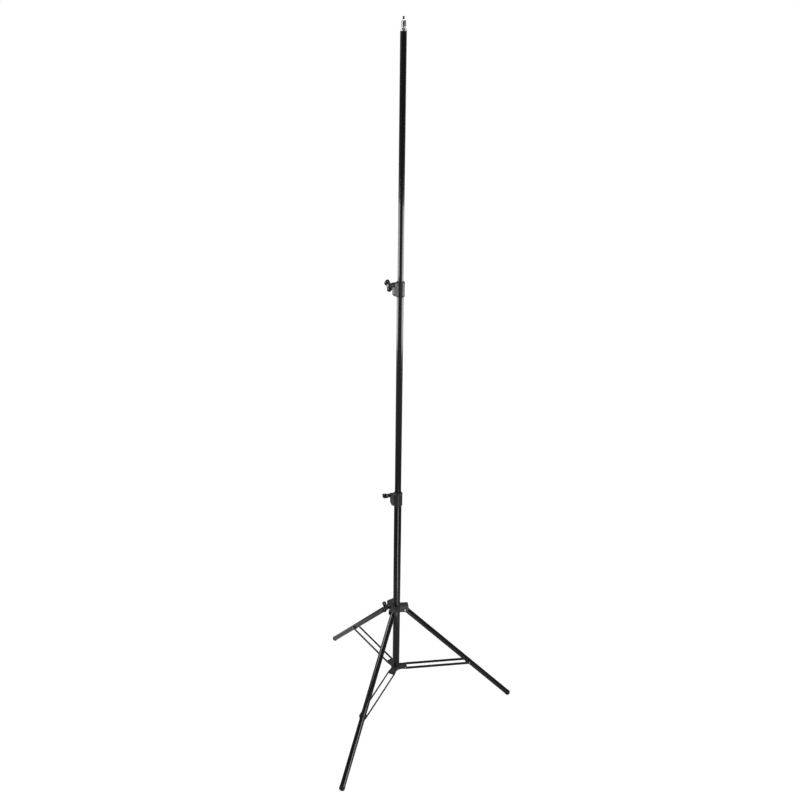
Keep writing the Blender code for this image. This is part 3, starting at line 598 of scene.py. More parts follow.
def gloss_enamel(name, along=(0.0, 0.0, 1.0), pad_azimuth=None):
    """Gloss black enamel on drawn tube: deep, with faint draw lines and orange peel.

    A riser also shows a duller track where the clamp's pad rubs along it.
    """
    draw_line = 0.0011  # real draw lines are finer; drawn wide enough to show
    line_length = 0.33333
    peel = 0.0024
    cloud_size = 0.071429
    material, tree, shader, place = new_finish(name)
    height = node(tree, "VectorMath", {0: place, 1: along}, operation="DOT_PRODUCT")
    squeeze = 1 - draw_line / line_length
    most = node(tree, "Math", {0: height, 1: squeeze}, operation="MULTIPLY")
    shift = node(tree, "VectorMath", {0: along, "Scale": most}, operation="SCALE")
    drawn = node(tree, "VectorMath", {0: place, 1: shift}, operation="SUBTRACT")
    lines = node(tree, "TexNoise", {"Vector": drawn, "Scale": 1 / draw_line, "Detail": 3.0})
    skin = node(tree, "TexNoise", {"Vector": place, "Scale": 1 / peel, "Detail": 1.0})
    cloud = node(tree, "TexNoise", {"Vector": place, "Scale": 1 / cloud_size, "Detail": 2.0})
    rough = node(tree, "MapRange", {"Value": lines, "To Min": 0.12, "To Max": 0.26})
    if pad_azimuth is not None:
        angle = math.radians(pad_azimuth)
        pad_side = (math.cos(angle), math.sin(angle), 0.0)
        level = node(tree, "VectorMath", {0: place, 1: (1.0, 1.0, 0.0)}, operation="MULTIPLY")
        outward = node(tree, "VectorMath", {0: level}, operation="NORMALIZE")
        facing = node(tree, "VectorMath", {0: outward, 1: pad_side}, operation="DOT_PRODUCT")
        track = node(
            tree, "MapRange", {"Value": facing, "From Min": 0.955, "From Max": 0.985, "To Max": 0.22}
        )
        scuffed = node(tree, "Math", {0: track, 1: lines}, operation="MULTIPLY")
        rough = node(tree, "Math", {0: rough, 1: scuffed}, operation="ADD")
    colour = node(
        tree, "Mix", {0: cloud, 6: linear(BLACK_HEX), 7: linear(BLACK_CLOUD_HEX)}, data_type="RGBA"
    )
    bump = node(tree, "Bump", {"Height": skin, "Strength": 0.06, "Distance": 0.0001})
    fill_inputs(tree, shader, {
        "Base Color": colour,
        "Roughness": rough,
        "Coat Weight": 0.6,
        "Coat Roughness": 0.06,
        "Normal": bump,
    })
    return material


def make_tube(name, node_name, wall, finish, body):
    """A drawn tube with its cut ends lightly rounded over."""
    low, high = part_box(node_name)
    radius = (high.x - low.x) / 2
    inner = radius - wall
    profile = [(inner, low.z), (radius, low.z), (radius, high.z), (inner, high.z)]
    tube = turned(name, rounded(profile, TUBE_EDGE, 2), 72, finish, sharp=50.0)
    tube.location = COLUMN
    weigh_normals(tube)
    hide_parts(node_name)
    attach(tube, body)


enamel = gloss_enamel("base_tube_enamel")
make_tube("base_column_tube", "base_tube", BASE_TUBE_WALL, enamel, "base")

# The leg collar.  One casting that slides on the base tube: a sleeve, three
# hooded lugs that hold the legs' tops, and a boss for the collar's own screw.
# The legs turn on steel rivets through the lugs.

LUG_REACH = 0.0500
LUG_HALF = 0.0145
LUG_ROOT = 0.0090
LUG_ABOVE = 0.0205
LUG_BELOW = 0.0090
LUG_CORNER = 0.0060
SLOT_HALF = 0.0116
SLOT_ROOF = 0.0172
SLOT_INNER_R = 0.0193
SLEEVE_R = 0.0190
SLEEVE_CORE_R = 0.0130  # the sleeve's inside before its bore is cut
BOSS_REACH = 0.0300
BOSS_HALF = 0.0090
BOSS_ROUND = 0.0040
COLLAR_BOSS_HALF_HEIGHT = 0.0130
COLLAR_BOSS_MIDDLE = 0.0070
COLLAR_SCREW_UP = 0.0135
COLLAR_PAD_END = 0.0206  # from the column's axis to the end of the pad's hole
COLLAR_KNOB_AZIMUTH = 210.0
PAD_HOLE_R = 0.0043
SCREW_HOLE_R = 0.0033
LEG_RIVET_R = 0.0030
LEG_RIVET_HEAD_R = 0.0050
LEG_RIVET_HOLE_R = 0.0033
LEG_PIVOT_R = (Vector(joint_of["leg_front"]["pos_m"]) - COLUMN).xy.length
COLLAR_Z = joint_of["leg_front"]["pos_m"][2]
LIE_ALONG_X = Matrix.Rotation(math.radians(90), 4, "Y")


def cast(name, bm, finish, voxel, passes):
    """Melt overlapping solids into one casting with soft inner and outer corners."""
    obj = to_object(name, bm)
    modify(obj, "REMESH", mode="VOXEL", voxel_size=voxel)
    modify(obj, "SMOOTH", iterations=passes, factor=0.5)
    settle(obj)
    obj.data.materials.append(finish)
    return obj


def drill(obj, profile, place=Matrix.Identity(4), segments=24):
    """Cut a turned solid out of an object."""
    bm = bmesh.new()
    add_turned(bm, profile, segments, place)
    carve(obj, bm)


def lug_side():
    """Side view of a lug: flat roof, round outer corner, cut square to the leg."""
    side = [(LUG_ROOT, -LUG_BELOW), (LUG_REACH - 0.010, -LUG_BELOW), (LUG_REACH, 0.001)]
    for step in range(7):
        angle = math.radians(15 * step)
        x = LUG_REACH - LUG_CORNER + LUG_CORNER * math.cos(angle)
        side.append((x, LUG_ABOVE - LUG_CORNER + LUG_CORNER * math.sin(angle)))
    return side + [(LUG_ROOT, LUG_ABOVE)]


def screw_hole(pad_end):
    """A hole along a boss: wide where the pad slides, then the screw's own."""
    wide = [(0.0, 0.008), (PAD_HOLE_R, 0.008), (PAD_HOLE_R, pad_end)]
    return wide + [(SCREW_HOLE_R, pad_end), (SCREW_HOLE_R, 0.04), (0.0, 0.04)]


def make_collar():
    centre = on_axis(COLLAR_Z)
    sleeve = [(SLEEVE_CORE_R, -LUG_BELOW), (SLEEVE_R, -LUG_BELOW)]
    sleeve += [(SLEEVE_R, LUG_ABOVE), (SLEEVE_CORE_R, LUG_ABOVE)]
    bm = bmesh.new()
    add_turned(bm, sleeve, 64, Matrix.Translation(centre))
    for azimuth in AZIMUTHS.values():
        add_slab(bm, lug_side(), -LUG_HALF, LUG_HALF, turn_about_z(azimuth, centre))
    low = COLLAR_BOSS_MIDDLE - COLLAR_BOSS_HALF_HEIGHT
    high = COLLAR_BOSS_MIDDLE + COLLAR_BOSS_HALF_HEIGHT
    boss = [(SLEEVE_CORE_R, low), (BOSS_REACH, low), (BOSS_REACH, high), (SLEEVE_CORE_R, high)]
    boss_turn = turn_about_z(COLLAR_KNOB_AZIMUTH, centre)
    add_slab(bm, rounded(boss, BOSS_ROUND), -BOSS_HALF, BOSS_HALF, boss_turn)
    collar = cast("collar_casting", bm, powder_coat, voxel=0.0008, passes=3)
    bore = rod_profile(BASE_TUBE_R + GAP, -0.03, 0.04)
    drill(collar, bore, Matrix.Translation(centre), 64)
    slot_end = LUG_REACH + 0.01
    slot = [(SLOT_INNER_R, -0.02), (slot_end, -0.02), (slot_end, SLOT_ROOF), (SLOT_INNER_R, SLOT_ROOF)]
    for azimuth in AZIMUTHS.values():
        lug = turn_about_z(azimuth, centre)
        bm = bmesh.new()
        add_slab(bm, rounded(slot, 0.003), -SLOT_HALF, SLOT_HALF, lug)
        carve(collar, bm)
        pin = lug @ Matrix.Translation((LEG_PIVOT_R, 0, 0)) @ LIE_ALONG_Y
        drill(collar, through(LEG_RIVET_HOLE_R), pin)
    screw = boss_turn @ Matrix.Translation((0, 0, COLLAR_SCREW_UP)) @ LIE_ALONG_X
    drill(collar, screw_hole(COLLAR_PAD_END), screw)
    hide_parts("leg_collar")
    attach(collar, "collar")


make_collar()
make_rivets("leg", LEG_RIVET_R, LEG_RIVET_HEAD_R, LUG_HALF + GAP, "collar")
dress("collar_pad", nylon)

# The clamps.  Each is a painted casting pressed on the end of a tube: a sleeve
# with a thicker rim at both ends, and a tapered boss that the screw runs in.

CLAMP_BODY_HEIGHT = 0.0536
CLAMP_WALL = 0.0027
CLAMP_RIM = 0.0005
CLAMP_BOSS_HALF = 0.0084
CLAMP_SCREW_UP = 0.0467
PAD_BEHIND = 0.0053  # from the clamped tube to the end of the pad's hole
MIDDLE_TUBE_R = (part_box("middle_tube")[1].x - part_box("middle_tube")[0].x) / 2
TOP_TUBE_R = (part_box("top_tube")[1].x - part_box("top_tube")[0].x) / 2
LOWER_KNOB_AZIMUTH = 216.0
UPPER_KNOB_AZIMUTH = 238.0
CLAMPS = [
    # name, radius of the tube it is pressed on, of the tube it grips, screw's azimuth, body
    ("lower", BASE_TUBE_R, MIDDLE_TUBE_R, LOWER_KNOB_AZIMUTH, "base"),
    ("upper", MIDDLE_TUBE_R, TOP_TUBE_R, UPPER_KNOB_AZIMUTH, "middle_riser"),
]


def make_clamp(name, tube_r, guided_r, azimuth, body):
    bore = tube_r + GAP
    outer = bore + CLAMP_WALL
    rim = outer + CLAMP_RIM
    top = CLAMP_BODY_HEIGHT
    inner = bore - 0.001
    sleeve = [(inner, 0.0), (outer - 0.001, 0.0), (rim, 0.004), (rim, 0.0065), (outer, 0.0085)]
    sleeve += [(outer, top - 0.0085), (rim, top - 0.007), (rim, top), (inner, top)]
    boss = [(inner, 0.002), (outer, 0.002), (BOSS_REACH - 0.004, 0.0060), (BOSS_REACH, 0.0125)]
    boss += [(BOSS_REACH, top - 0.001), (BOSS_REACH - 0.001, top), (inner, top)]
    turn = turn_about_z(azimuth, on_axis(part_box(f"{name}_clamp")[0].z))
    bm = bmesh.new()
    add_turned(bm, sleeve, 64, turn)
    add_slab(bm, rounded(boss, BOSS_ROUND), -CLAMP_BOSS_HALF, CLAMP_BOSS_HALF, turn)
    clamp = cast(f"{name}_clamp_casting", bm, powder_coat, voxel=0.0007, passes=4)
    drill(clamp, rod_profile(bore, -0.02, top + 0.02), turn, 64)
    screw = turn @ Matrix.Translation((0, 0, CLAMP_SCREW_UP)) @ LIE_ALONG_X
    drill(clamp, screw_hole(guided_r + PAD_BEHIND), screw)
    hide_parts(f"{name}_clamp")
    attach(clamp, body)


for clamp in CLAMPS:
    make_clamp(*clamp)
    dress(f"{clamp[0]}_pad", nylon)

# The guide bushes.  Dark grey acetal rings pressed into the clamps' mouths, which
# centre the thinner tube.  Only the flange shows; a window lets the pad through.

BUSH_FLANGE = 0.0016

GREY_ACETAL_HEX = "#363637"


def moulded_acetal(name, hex_colour):
    """Moulded acetal: smooth and faintly satin, with fine mould grain."""
    grain = 0.0006  # a real mould's grain is finer; drawn coarser so that it shows
    material, tree, shader, place = new_finish(name)
    sand = node(tree, "TexNoise", {"Vector": place, "Scale": 1 / grain, "Detail": 2.0})
    rough = node(tree, "MapRange", {"Value": sand, "To Min": 0.32, "To Max": 0.52})
    bump = node(tree, "Bump", {"Height": sand, "Strength": 0.12, "Distance": 0.0001})
    fill_inputs(tree, shader, {
        "Base Color": linear(hex_colour),
        "Roughness": rough,
        "IOR": 1.48,
        "Normal": bump,
    })
    return material


grey_acetal = moulded_acetal("grey_acetal", GREY_ACETAL_HEX)


def make_bush(name, tube_r, guided_r, azimuth, body):
    low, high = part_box(f"{name}_bush")
    flange_r = (high.x - low.x) / 2
    lip = high.z - BUSH_FLANGE
    inner = guided_r + GAP
    profile = [(inner, low.z), (tube_r, low.z), (tube_r, lip)]
    profile += [(flange_r, lip), (flange_r, high.z), (inner, high.z)]
    bush = turned(f"{name}_guide_bush", rounded(profile, 0.0006), 72, grey_acetal, sharp=45.0)
    screw_z = joint_of[f"{name}_clamp_screw"]["pos_m"][2]
    window = turn_about_z(azimuth, Vector((0, 0, screw_z))) @ LIE_ALONG_X
    drill(bush, rod_profile(PAD_HOLE_R, 0.006, 0.03), window)
    bush.location = COLUMN
    weigh_normals(bush)
    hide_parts(f"{name}_bush")
    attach(bush, body)


for clamp in CLAMPS:
    make_bush(*clamp)

# The knobs.  T-shaped handles moulded in black glass-filled nylon round the
# head of a steel stud, with a dished grip on both faces of each wing.

KNOB_LENGTH = 0.0295
KNOB_NECK_R = 0.0078
KNOB_SOCKET = 0.0150
WING_ROOT = 0.0130
WING_HALF = 0.0213
WING_LOBE_R = 0.0090
WING_THICK_HALF = 0.0078
WING_DIP = 0.0045
DISH_R = 0.0180
DISH_DEPTH = 0.0016
KNOBS = [
    # name, screw's azimuth, degrees that the wings are turned, body
    ("lower", LOWER_KNOB_AZIMUTH, -66.0, "lower_clamp_screw"),
    ("upper", UPPER_KNOB_AZIMUTH, 42.0, "upper_clamp_screw"),
    ("collar", COLLAR_KNOB_AZIMUTH, 20.0, "collar_screw"),
]

KNOB_HEX = "#0E0E0F"
KNOB_FLOW_HEX = "#151516"


def moulded_nylon():
    """Glass-filled nylon from a polished mould: black, semi-gloss, faintly pitted."""
    pit = 0.0008  # real pits are finer; drawn coarser so that they show
    flow_size = 0.011111
    material, tree, shader, place = new_finish("moulded_nylon")
    pits = node(tree, "TexNoise", {"Vector": place, "Scale": 1 / pit, "Detail": 2.0})
    flow = node(tree, "TexNoise", {"Vector": place, "Scale": 1 / flow_size, "Distortion": 2.0})
    colour = node(
        tree, "Mix", {0: flow, 6: linear(KNOB_HEX), 7: linear(KNOB_FLOW_HEX)}, data_type="RGBA"
    )
    rough = node(tree, "MapRange", {"Value": flow, "To Min": 0.10, "To Max": 0.20})
    bump = node(tree, "Bump", {"Height": pits, "Strength": 0.08, "Distance": 0.0001})
    fill_inputs(tree, shader, {"Base Color": colour, "Roughness": rough, "IOR": 1.53, "Normal": bump})
    return material


knob_nylon = moulded_nylon()


def wing_plan(start):
    """Two round wings on a tapering neck, seen flat, as X along the stud."""
    end = start + KNOB_LENGTH
    root = start + WING_ROOT
    dip = end - WING_DIP
    lobe_x = end - WING_LOBE_R
    lobe_z = WING_HALF - WING_LOBE_R
    lower = []
    for step in range(13):
        angle = math.radians(215 + 145 * step / 12)
        x = lobe_x + WING_LOBE_R * math.cos(angle)
        lower.append((x, -lobe_z + WING_LOBE_R * math.sin(angle)))
    upper = [(x, -z) for x, z in reversed(lower)]
    middle = [(dip, -0.004), (dip, 0.004)]
    return [(root, -KNOB_NECK_R)] + lower + middle + upper + [(root, KNOB_NECK_R)]


def make_knob(name, azimuth, wing_turn, body):
    start = BOSS_REACH + GAP
    end = start + KNOB_LENGTH
    flange_r = KNOB_NECK_R + 0.0014
    neck = [(0.0, start), (flange_r, start), (flange_r, start + 0.002), (KNOB_NECK_R, start + 0.004)]
    neck += [(KNOB_NECK_R, end - 0.0062), (0.005, end - 0.0042), (0.0, end - 0.0038)]
    bm = bmesh.new()
    add_turned(bm, neck, 48, LIE_ALONG_X)
    add_slab(bm, wing_plan(start), -WING_THICK_HALF, WING_THICK_HALF)
    knob = cast(f"{name}_wing_knob", bm, knob_nylon, voxel=0.0006, passes=5)
    for lobe in (-1, 1):
        for face in (-1, 1):
            across = face * (WING_THICK_HALF - DISH_DEPTH + DISH_R)
            centre = Vector((end - WING_LOBE_R, across, lobe * (WING_HALF - WING_LOBE_R)))
            bm = bmesh.new()
            bmesh.ops.create_uvsphere(
                bm, u_segments=64, v_segments=48, radius=DISH_R, matrix=Matrix.Translation(centre)
            )
            carve(knob, bm)
    drill(knob, rod_profile(SCREW_HOLE_R, start - 0.01, start + KNOB_SOCKET), LIE_ALONG_X)
    wings = Matrix.Rotation(math.radians(wing_turn), 4, "X")
    knob.data.transform(turn_about_z(azimuth, on_axis(joint_of[body]["pos_m"][2])) @ wings)
    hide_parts(f"{name}_knob")
    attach(knob, body)


for knob in KNOBS:
    make_knob(*knob)
    dress(f"{knob[0]}_knob_screw", zinc)

# The risers.  Two thinner drawn tubes in the same gloss black.  Each slides in
# the one below on a nylon guide, and a clamp's pad rubs a dull track down it.

RISER_WALL = 0.0010

for name, azimuth in (("middle", LOWER_KNOB_AZIMUTH), ("top", UPPER_KNOB_AZIMUTH)):
    enamel = gloss_enamel(f"{name}_tube_enamel", pad_azimuth=azimuth)
    make_tube(f"{name}_riser_tube", f"{name}_tube", RISER_WALL, enamel, f"{name}_riser")
    dress(f"{name}_glide", nylon)

# The spigot.  Turned from steel bar and bright plated: a flared foot that sits
# on the top tube, a locking groove, and the 16 mm body that a lamp head grips.
# A blackened quarter-inch stud is screwed into its end.

SPIGOT_R = 0.0080
SPIGOT_GROOVE_R = 0.0068
SPIGOT_FLARE = 0.0085
SPIGOT_HOLE_R = 0.0035
SPIGOT_HOLE = 0.0150
THREAD_PITCH = 0.00127
THREAD_DEPTH = 0.00062

CHROME_HEX = "#D5D6D8"
STUD_HEX = "#161617"
STUD_WORN_HEX = "#4A4A4C"


def bright_plate():
    """Bright plating over turned steel: mirror-like, with fine rings from the tool."""
    feed = 0.0043982  # a tool's real feed is about 0.2 mm; drawn wide enough to show
    haze_size = 0.0045455
    material, tree, shader, place = new_finish("bright_plate")
    wave_scale = 2 * math.pi / feed / 20
    rings = node(
        tree,
        "TexWave",
        {"Vector": place, "Scale": wave_scale, "Distortion": 0.4, "Detail": 1.0},
        bands_direction="Z",
    )
    haze = node(tree, "TexNoise", {"Vector": place, "Scale": 1 / haze_size, "Detail": 3.0})
    rough = node(tree, "MapRange", {"Value": haze, "To Min": 0.20, "To Max": 0.36})
    bump = node(tree, "Bump", {"Height": rings.outputs["Fac"], "Strength": 0.10, "Distance": 0.00005})
    fill_inputs(tree, shader, {
        "Base Color": linear(CHROME_HEX),
        "Metallic": 1.0,
        "Roughness": rough,
        "Normal": bump,
    })
    return material


def blackened_steel():
    """Oil-blackened steel: dark and dull, with brighter rubbed crests."""
    haze_size = 0.0014286
    material, tree, shader, place = new_finish("blackened_steel")
    haze = node(tree, "TexNoise", {"Vector": place, "Scale": 1 / haze_size, "Detail": 3.0})
    edge = node(tree, "NewGeometry").outputs["Pointiness"]
    crest = node(tree, "MapRange", {"Value": edge, "From Min": 0.52, "From Max": 0.62, "To Max": 0.2})
    colour = node(
        tree, "Mix", {0: crest, 6: linear(STUD_HEX), 7: linear(STUD_WORN_HEX)}, data_type="RGBA"
    )
    rough = node(tree, "MapRange", {"Value": haze, "To Min": 0.36, "To Max": 0.54})
    fill_inputs(tree, shader, {"Base Color": colour, "Metallic": 1.0, "Roughness": rough})
    return material


def make_spigot():
    low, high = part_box("spigot")
    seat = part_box("top_tube")[1].z + GAP
    shank_r = TOP_TUBE_R - 0.0013
    flare = seat + SPIGOT_FLARE
    hole = high.z - SPIGOT_HOLE
    profile = [(0.0, low.z), (shank_r, low.z), (shank_r, seat), (TOP_TUBE_R, seat)]
    profile += [(TOP_TUBE_R, seat + 0.002), (SPIGOT_R + 0.0006, flare - 0.0015), (SPIGOT_R, flare)]
    profile += [(SPIGOT_GROOVE_R, flare + 0.001), (SPIGOT_GROOVE_R, flare + 0.0035)]
    profile += [(SPIGOT_R, flare + 0.0045), (SPIGOT_R, high.z - 0.002), (SPIGOT_R - 0.002, high.z)]
    profile += [(SPIGOT_HOLE_R, high.z), (SPIGOT_HOLE_R, hole), (0.0, hole)]
    spigot = turned("turned_spigot", rounded(profile, 0.0005), 72, bright_plate(), sharp=40.0)
    spigot.location = COLUMN
    weigh_normals(spigot)
    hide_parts("spigot")
    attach(spigot, "top_riser")


def make_stud():
    """The stud's thread is a real helix: its radius follows the turn and the height."""
    low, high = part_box("spigot_stud")
    crest_r = (high.x - low.x) / 2
    sides = 48
    rows = 110
    lead_in = 0.001
    bm = bmesh.new()
    rings = []
    for row in range(rows + 1):
        height = low.z + (high.z - low.z) * row / rows
        lead = min(1.0, (high.z - height) / lead_in, (height - low.z) / lead_in + 0.3)
        ring = []
        for i in range(sides):
            angle = 2 * math.pi * i / sides
            phase = (height / THREAD_PITCH - i / sides) % 1.0
            flank = abs(2 * phase - 1)
            radius = crest_r - THREAD_DEPTH * min(1.0, max(0.0, 1.3 * flank - 0.15))
            radius -= 0.0006 * (1 - lead)
            ring.append(bm.verts.new((radius * math.cos(angle), radius * math.sin(angle), height)))
        rings.append(ring)
    for k in range(rows):
        for i in range(sides):
            j = (i + 1) % sides
            bm.faces.new((rings[k][i], rings[k][j], rings[k + 1][j], rings[k + 1][i]))
    bm.faces.new(rings[0][::-1])
    bm.faces.new(rings[-1])
    stud = to_object("threaded_stud", bm, blackened_steel(), 60.0)
    stud.location = COLUMN
    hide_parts("spigot_stud")
    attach(stud, "top_riser")


make_spigot()
make_stud()

# The legs.  Drawn aluminium tube, 22 mm, in the column's black.  A plastic plug
# closes each top and carries the rivet; a moulded saddle part way down spaces
# the brace strips off the tube.

LEG_TUBE_R = 0.0110
LEG_TUBE_WALL = 0.0010
LEG_ABOVE_PIVOT = 0.0080
LEG_LENGTH = 0.6850  # from the pivot to the middle of the foot's nose
FOOT_HEAD = 0.0080  # from the tube's end to the middle of the foot's nose
LEG_PLUG_DEPTH = 0.0180
SADDLE_HALF = 0.0110
SADDLE_WALL = 0.0011
SADDLE_MOUTH = 0.0040
SADDLE_BOSS_R = 0.0065
SPACER_HALF = 0.0127

BLACK_ACETAL_HEX = "#1E1E1F"

black_acetal = moulded_acetal("black_acetal", BLACK_ACETAL_HEX)


def brace_pin(side):
    """The middle of the pin that joins a leg to its brace."""
    low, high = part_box(f"leg_cross_pin_{side}")
    return (low + high) / 2


def leg_place(side):
    """Where a leg hangs: origin on its rivet, Z up the leg, Y along the rivet."""
    joint = joint_of[f"leg_{side}"]
    pivot = Vector(joint["pos_m"])
    rise = pivot - brace_pin(side)
    up = rise.normalized()
    across = Vector(joint["axis"]).normalized()
    turn = Matrix((across.cross(up), across, up)).transposed().to_4x4()
    return Matrix.Translation(pivot) @ turn, rise.length


def make_leg(side):
    place, brace_at = leg_place(side)
    finish = gloss_enamel(f"leg_{side}_enamel", tuple(place.to_3x3() @ Vector((0, 0, 1))))
    inner = LEG_TUBE_R - LEG_TUBE_WALL
    top = LEG_ABOVE_PIVOT
    bottom = FOOT_HEAD - LEG_LENGTH
    profile = [(inner, bottom), (LEG_TUBE_R, bottom), (LEG_TUBE_R, top), (inner, top)]
    tube = turned(f"leg_{side}_tube", rounded(profile, TUBE_EDGE, 2), 64, finish, sharp=50.0)
    bm = bmesh.new()
    add_turned(bm, through(LEG_RIVET_HOLE_R, 0.02), 24, LIE_ALONG_Y)
    pin = Matrix.Translation((0, 0, -brace_at)) @ LIE_ALONG_Y
    add_turned(bm, through(RIVET_HOLE_R, 0.02), 24, pin)
    carve(tube, bm)
    tube.data.transform(place)
    weigh_normals(tube)
    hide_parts(f"leg_tube_{side}")
    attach(tube, f"leg_{side}")


def make_leg_plug(side):
    radius = LEG_TUBE_R - LEG_TUBE_WALL - GAP
    seat = LEG_ABOVE_PIVOT + GAP
    cap_r = LEG_TUBE_R - 0.0005
    profile = [(0.0, -LEG_PLUG_DEPTH), (radius, -LEG_PLUG_DEPTH), (radius, seat), (cap_r, seat)]
    profile += [(cap_r, seat + 0.0014), (0.0, seat + 0.0020)]
    plug = turned(f"leg_{side}_plug", rounded(profile, 0.0008), 48, black_acetal)
    drill(plug, through(LEG_RIVET_HOLE_R, 0.02), LIE_ALONG_Y)
    plug.data.transform(leg_place(side)[0])
    weigh_normals(plug)
    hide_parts(f"leg_insert_{side}")
    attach(plug, f"leg_{side}")


def make_saddle(side):
    place, brace_at = leg_place(side)
    inner = LEG_TUBE_R + GAP
    core = inner - 0.001
    outer = inner + SADDLE_WALL
    ring = [(core, -SADDLE_HALF), (outer, -SADDLE_HALF), (outer, SADDLE_HALF), (core, SADDLE_HALF)]
    saddle = turned(f"leg_{side}_saddle", rounded(ring, 0.0005), 64, black_acetal)
    wide = 0.03
    mouth = [(SADDLE_MOUTH, -wide), (wide, -wide), (wide, wide), (SADDLE_MOUTH, wide)]
    bm = bmesh.new()
    add_slab(bm, mouth, -wide, wide)
    carve(saddle, bm)
    boss = rounded(rod_profile(SADDLE_BOSS_R, -SPACER_HALF, SPACER_HALF), 0.0005)
    join(saddle, turned(f"leg_{side}_bosses", boss, 40, None, LIE_ALONG_Y), "UNION")
    drill(saddle, through(inner), segments=64)
    drill(saddle, through(RIVET_HOLE_R), LIE_ALONG_Y)
    saddle.data.transform(place @ Matrix.Translation((0, 0, -brace_at)))
    weigh_normals(saddle)
    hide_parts(f"leg_clip_{side}")
    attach(saddle, f"leg_{side}")


for side in AZIMUTHS:
    make_leg(side)
    make_leg_plug(side)
    make_saddle(side)
    dress(f"leg_cross_pin_{side}", zinc)

# The feet.  Solid moulded rubber plugs with a ribbed head, pushed into the legs'
# ends.  Each has worn to a small flat where it meets the floor.

FOOT_R = 0.0117
FOOT_NOSE = 0.0090
FOOT_SHANK = 0.0220
FOOT_RIB = 0.0005

RUBBER_HEX = "#151515"
DUST_HEX = "#57544F"


def moulded_rubber():
    """Black rubber: no shine, a little floor dust on the nose."""
    speck_size = 0.002
    dust_height = 0.012
    material, tree, shader, place = new_finish("moulded_rubber")
    height = node(tree, "SeparateXYZ", {0: place}).outputs["Z"]
    dusty = node(
        tree, "MapRange", {"Value": height, "From Max": dust_height, "To Min": 0.35, "To Max": 0.0}
    )
    speck = node(tree, "TexNoise", {"Vector": place, "Scale": 1 / speck_size, "Detail": 4.0})
    dust = node(tree, "Math", {0: dusty, 1: speck}, operation="MULTIPLY")
    colour = node(tree, "Mix", {0: dust, 6: linear(RUBBER_HEX), 7: linear(DUST_HEX)}, data_type="RGBA")
    bump = node(tree, "Bump", {"Height": speck, "Strength": 0.15, "Distance": 0.0001})
    fill_inputs(tree, shader, {"Base Color": colour, "Roughness": 0.72, "IOR": 1.52, "Normal": bump})
    return material


rubber = moulded_rubber()


def make_foot(side):
    shank_r = LEG_TUBE_R - LEG_TUBE_WALL - GAP
    seat = FOOT_HEAD - GAP
    end = seat + FOOT_SHANK
    profile = [(0.0, end), (shank_r - 0.001, end), (shank_r, end - 0.001)]
    profile += [(shank_r, seat), (FOOT_R - 0.0008, seat), (FOOT_R, seat - 0.0008)]
    for groove in (0.0052, 0.0030):
        profile += [(FOOT_R, groove + 0.0006), (FOOT_R - FOOT_RIB, groove + 0.0003)]
        profile += [(FOOT_R - FOOT_RIB, groove - 0.0003), (FOOT_R, groove - 0.0006)]
    for step in range(13):
        angle = math.radians(7.5 * step)
        radius = FOOT_R * math.cos(angle) if step < 12 else 0.0
        profile.append((radius, -FOOT_NOSE * math.sin(angle)))
    foot = turned(f"leg_{side}_foot", profile, 64, rubber)
    foot.data.transform(leg_place(side)[0] @ Matrix.Translation((0, 0, -LEG_LENGTH)))
    for vert in foot.data.vertices:
        vert.co.z = max(vert.co.z, 0.0)
    weigh_normals(foot)
    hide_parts(f"leg_foot_{side}")
    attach(foot, f"leg_{side}")


for side in AZIMUTHS:
    make_foot(side)

# The braces.  Each leg has a pair of flat steel strips, cut from 12 by 1.8 mm
# bar with round ends and enamelled black.  They turn on the hub's rivet, and a
# rivet with a domed head joins them to the leg.

STRIP_WIDTH = 0.0120
STRIP_THICK = 0.0018
STRIP_INNER = 0.0130
STRIP_EDGE = 0.0004

BARE_STEEL_HEX = "#6A6B6D"


def strip_enamel():
    """The same gloss black on rolled strip: flatter, with bright nicks on its edges."""
    roll_line = 0.0011111  # real rolling lines are finer; drawn wide enough to show
    roll_length = 0.25
    chip = 0.003125
    material, tree, shader, place = new_finish("strip_enamel")
    stretch = (1 / roll_length, 1 / roll_line, 1 / roll_line)
    rolled = node(tree, "VectorMath", {0: place, 1: stretch}, operation="MULTIPLY")
    lines = node(tree, "TexNoise", {"Vector": rolled, "Scale": 1.0, "Detail": 3.0})
    chips = node(tree, "TexNoise", {"Vector": place, "Scale": 1 / chip, "Detail": 2.0})
    edge = node(tree, "NewGeometry").outputs["Pointiness"]
    bare = node(tree, "MapRange", {"Value": edge, "From Min": 0.56, "From Max": 0.66})
    nick = node(tree, "MapRange", {"Value": chips, "From Min": 0.58, "From Max": 0.66})
    shown = node(tree, "Math", {0: bare, 1: nick}, operation="MULTIPLY")
    colour = node(
        tree, "Mix", {0: shown, 6: linear(BLACK_HEX), 7: linear(BARE_STEEL_HEX)}, data_type="RGBA"
    )
    rough = node(tree, "MapRange", {"Value": lines, "To Min": 0.30, "To Max": 0.46})
    fill_inputs(tree, shader, {"Base Color": colour, "Roughness": rough})
    return material


flat_enamel = strip_enamel()


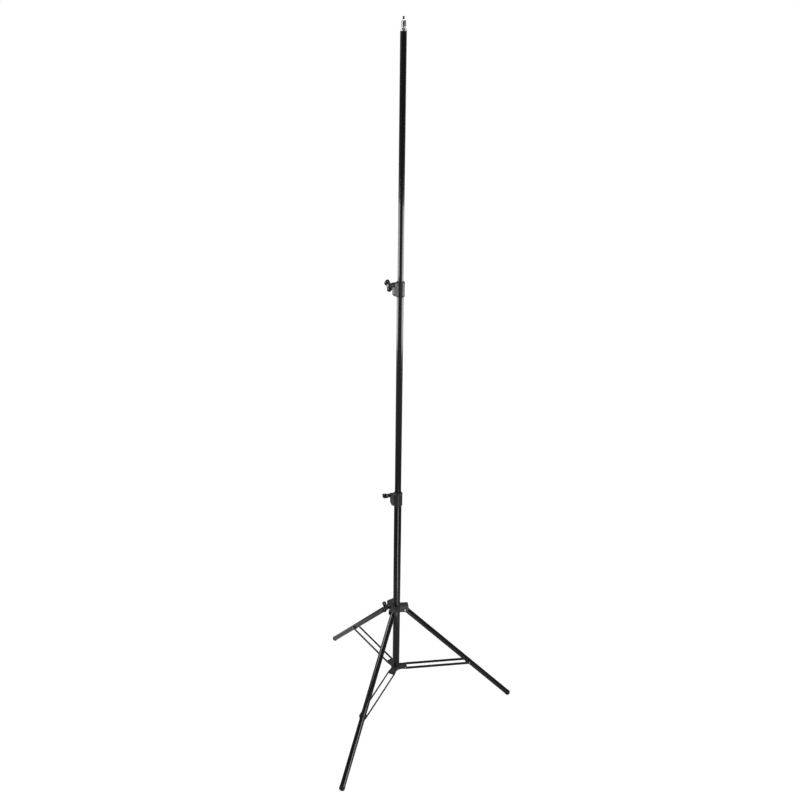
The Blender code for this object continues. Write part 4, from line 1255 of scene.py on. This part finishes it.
def brace_place(side):
    """Where a brace lies: origin on the hub's rivet, X out to the leg's."""
    joint = joint_of[f"brace_{side}"]
    pivot = Vector(joint["pos_m"])
    reach = brace_pin(side) - pivot
    out = reach.normalized()
    across = -Vector(joint["axis"]).normalized()
    turn = Matrix((out, across, out.cross(across))).transposed().to_4x4()
    return Matrix.Translation(pivot) @ turn, reach.length


def strip_side(length):
    """Side view of a strip: two half circles joined by straight edges."""
    half = STRIP_WIDTH / 2
    side = []
    for centre, first in ((0.0, 90.0), (length, -90.0)):
        for step in range(13):
            angle = math.radians(first + 15 * step)
            side.append((centre + half * math.cos(angle), half * math.sin(angle)))
    return side


def make_strip(side, letter, sign):
    place, length = brace_place(side)
    faces = sorted((sign * STRIP_INNER, sign * (STRIP_INNER + STRIP_THICK)))
    bm = bmesh.new()
    add_slab(bm, strip_side(length), *faces)
    strip = to_object(f"brace_{side}_strip_{letter}", bm, flat_enamel)
    round_edges(strip, STRIP_EDGE, 2)
    bm = bmesh.new()
    for x in (0.0, length):
        hole = Matrix.Translation((x, 0, 0)) @ LIE_ALONG_Y
        add_turned(bm, through(RIVET_HOLE_R), 24, hole)
    carve(strip, bm)
    strip.data.transform(place)
    weigh_normals(strip)
    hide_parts(f"brace_strip_{letter}_{side}")
    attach(strip, f"brace_{side}")


def make_brace_rivet(side, letter, sign):
    place, length = brace_place(side)
    face = STRIP_INNER + STRIP_THICK + GAP
    profile = [(0.0, STRIP_INNER), (RIVET_R, STRIP_INNER), (RIVET_R, face)]
    profile += rivet_head(RIVET_HEAD_R, face)
    flip = Matrix.Translation((length, 0, 0)) @ Matrix.Rotation(math.radians(-90 * sign), 4, "X")
    rivet = turned(f"brace_{side}_rivet_{letter}", profile, 32, zinc, flip)
    rivet.data.transform(place)
    weigh_normals(rivet)
    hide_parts(f"brace_rivet_{letter}_{side}")
    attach(rivet, f"brace_{side}")


for side in AZIMUTHS:
    for letter, sign in (("a", 1), ("b", -1)):
        make_strip(side, letter, sign)
        make_brace_rivet(side, letter, sign)
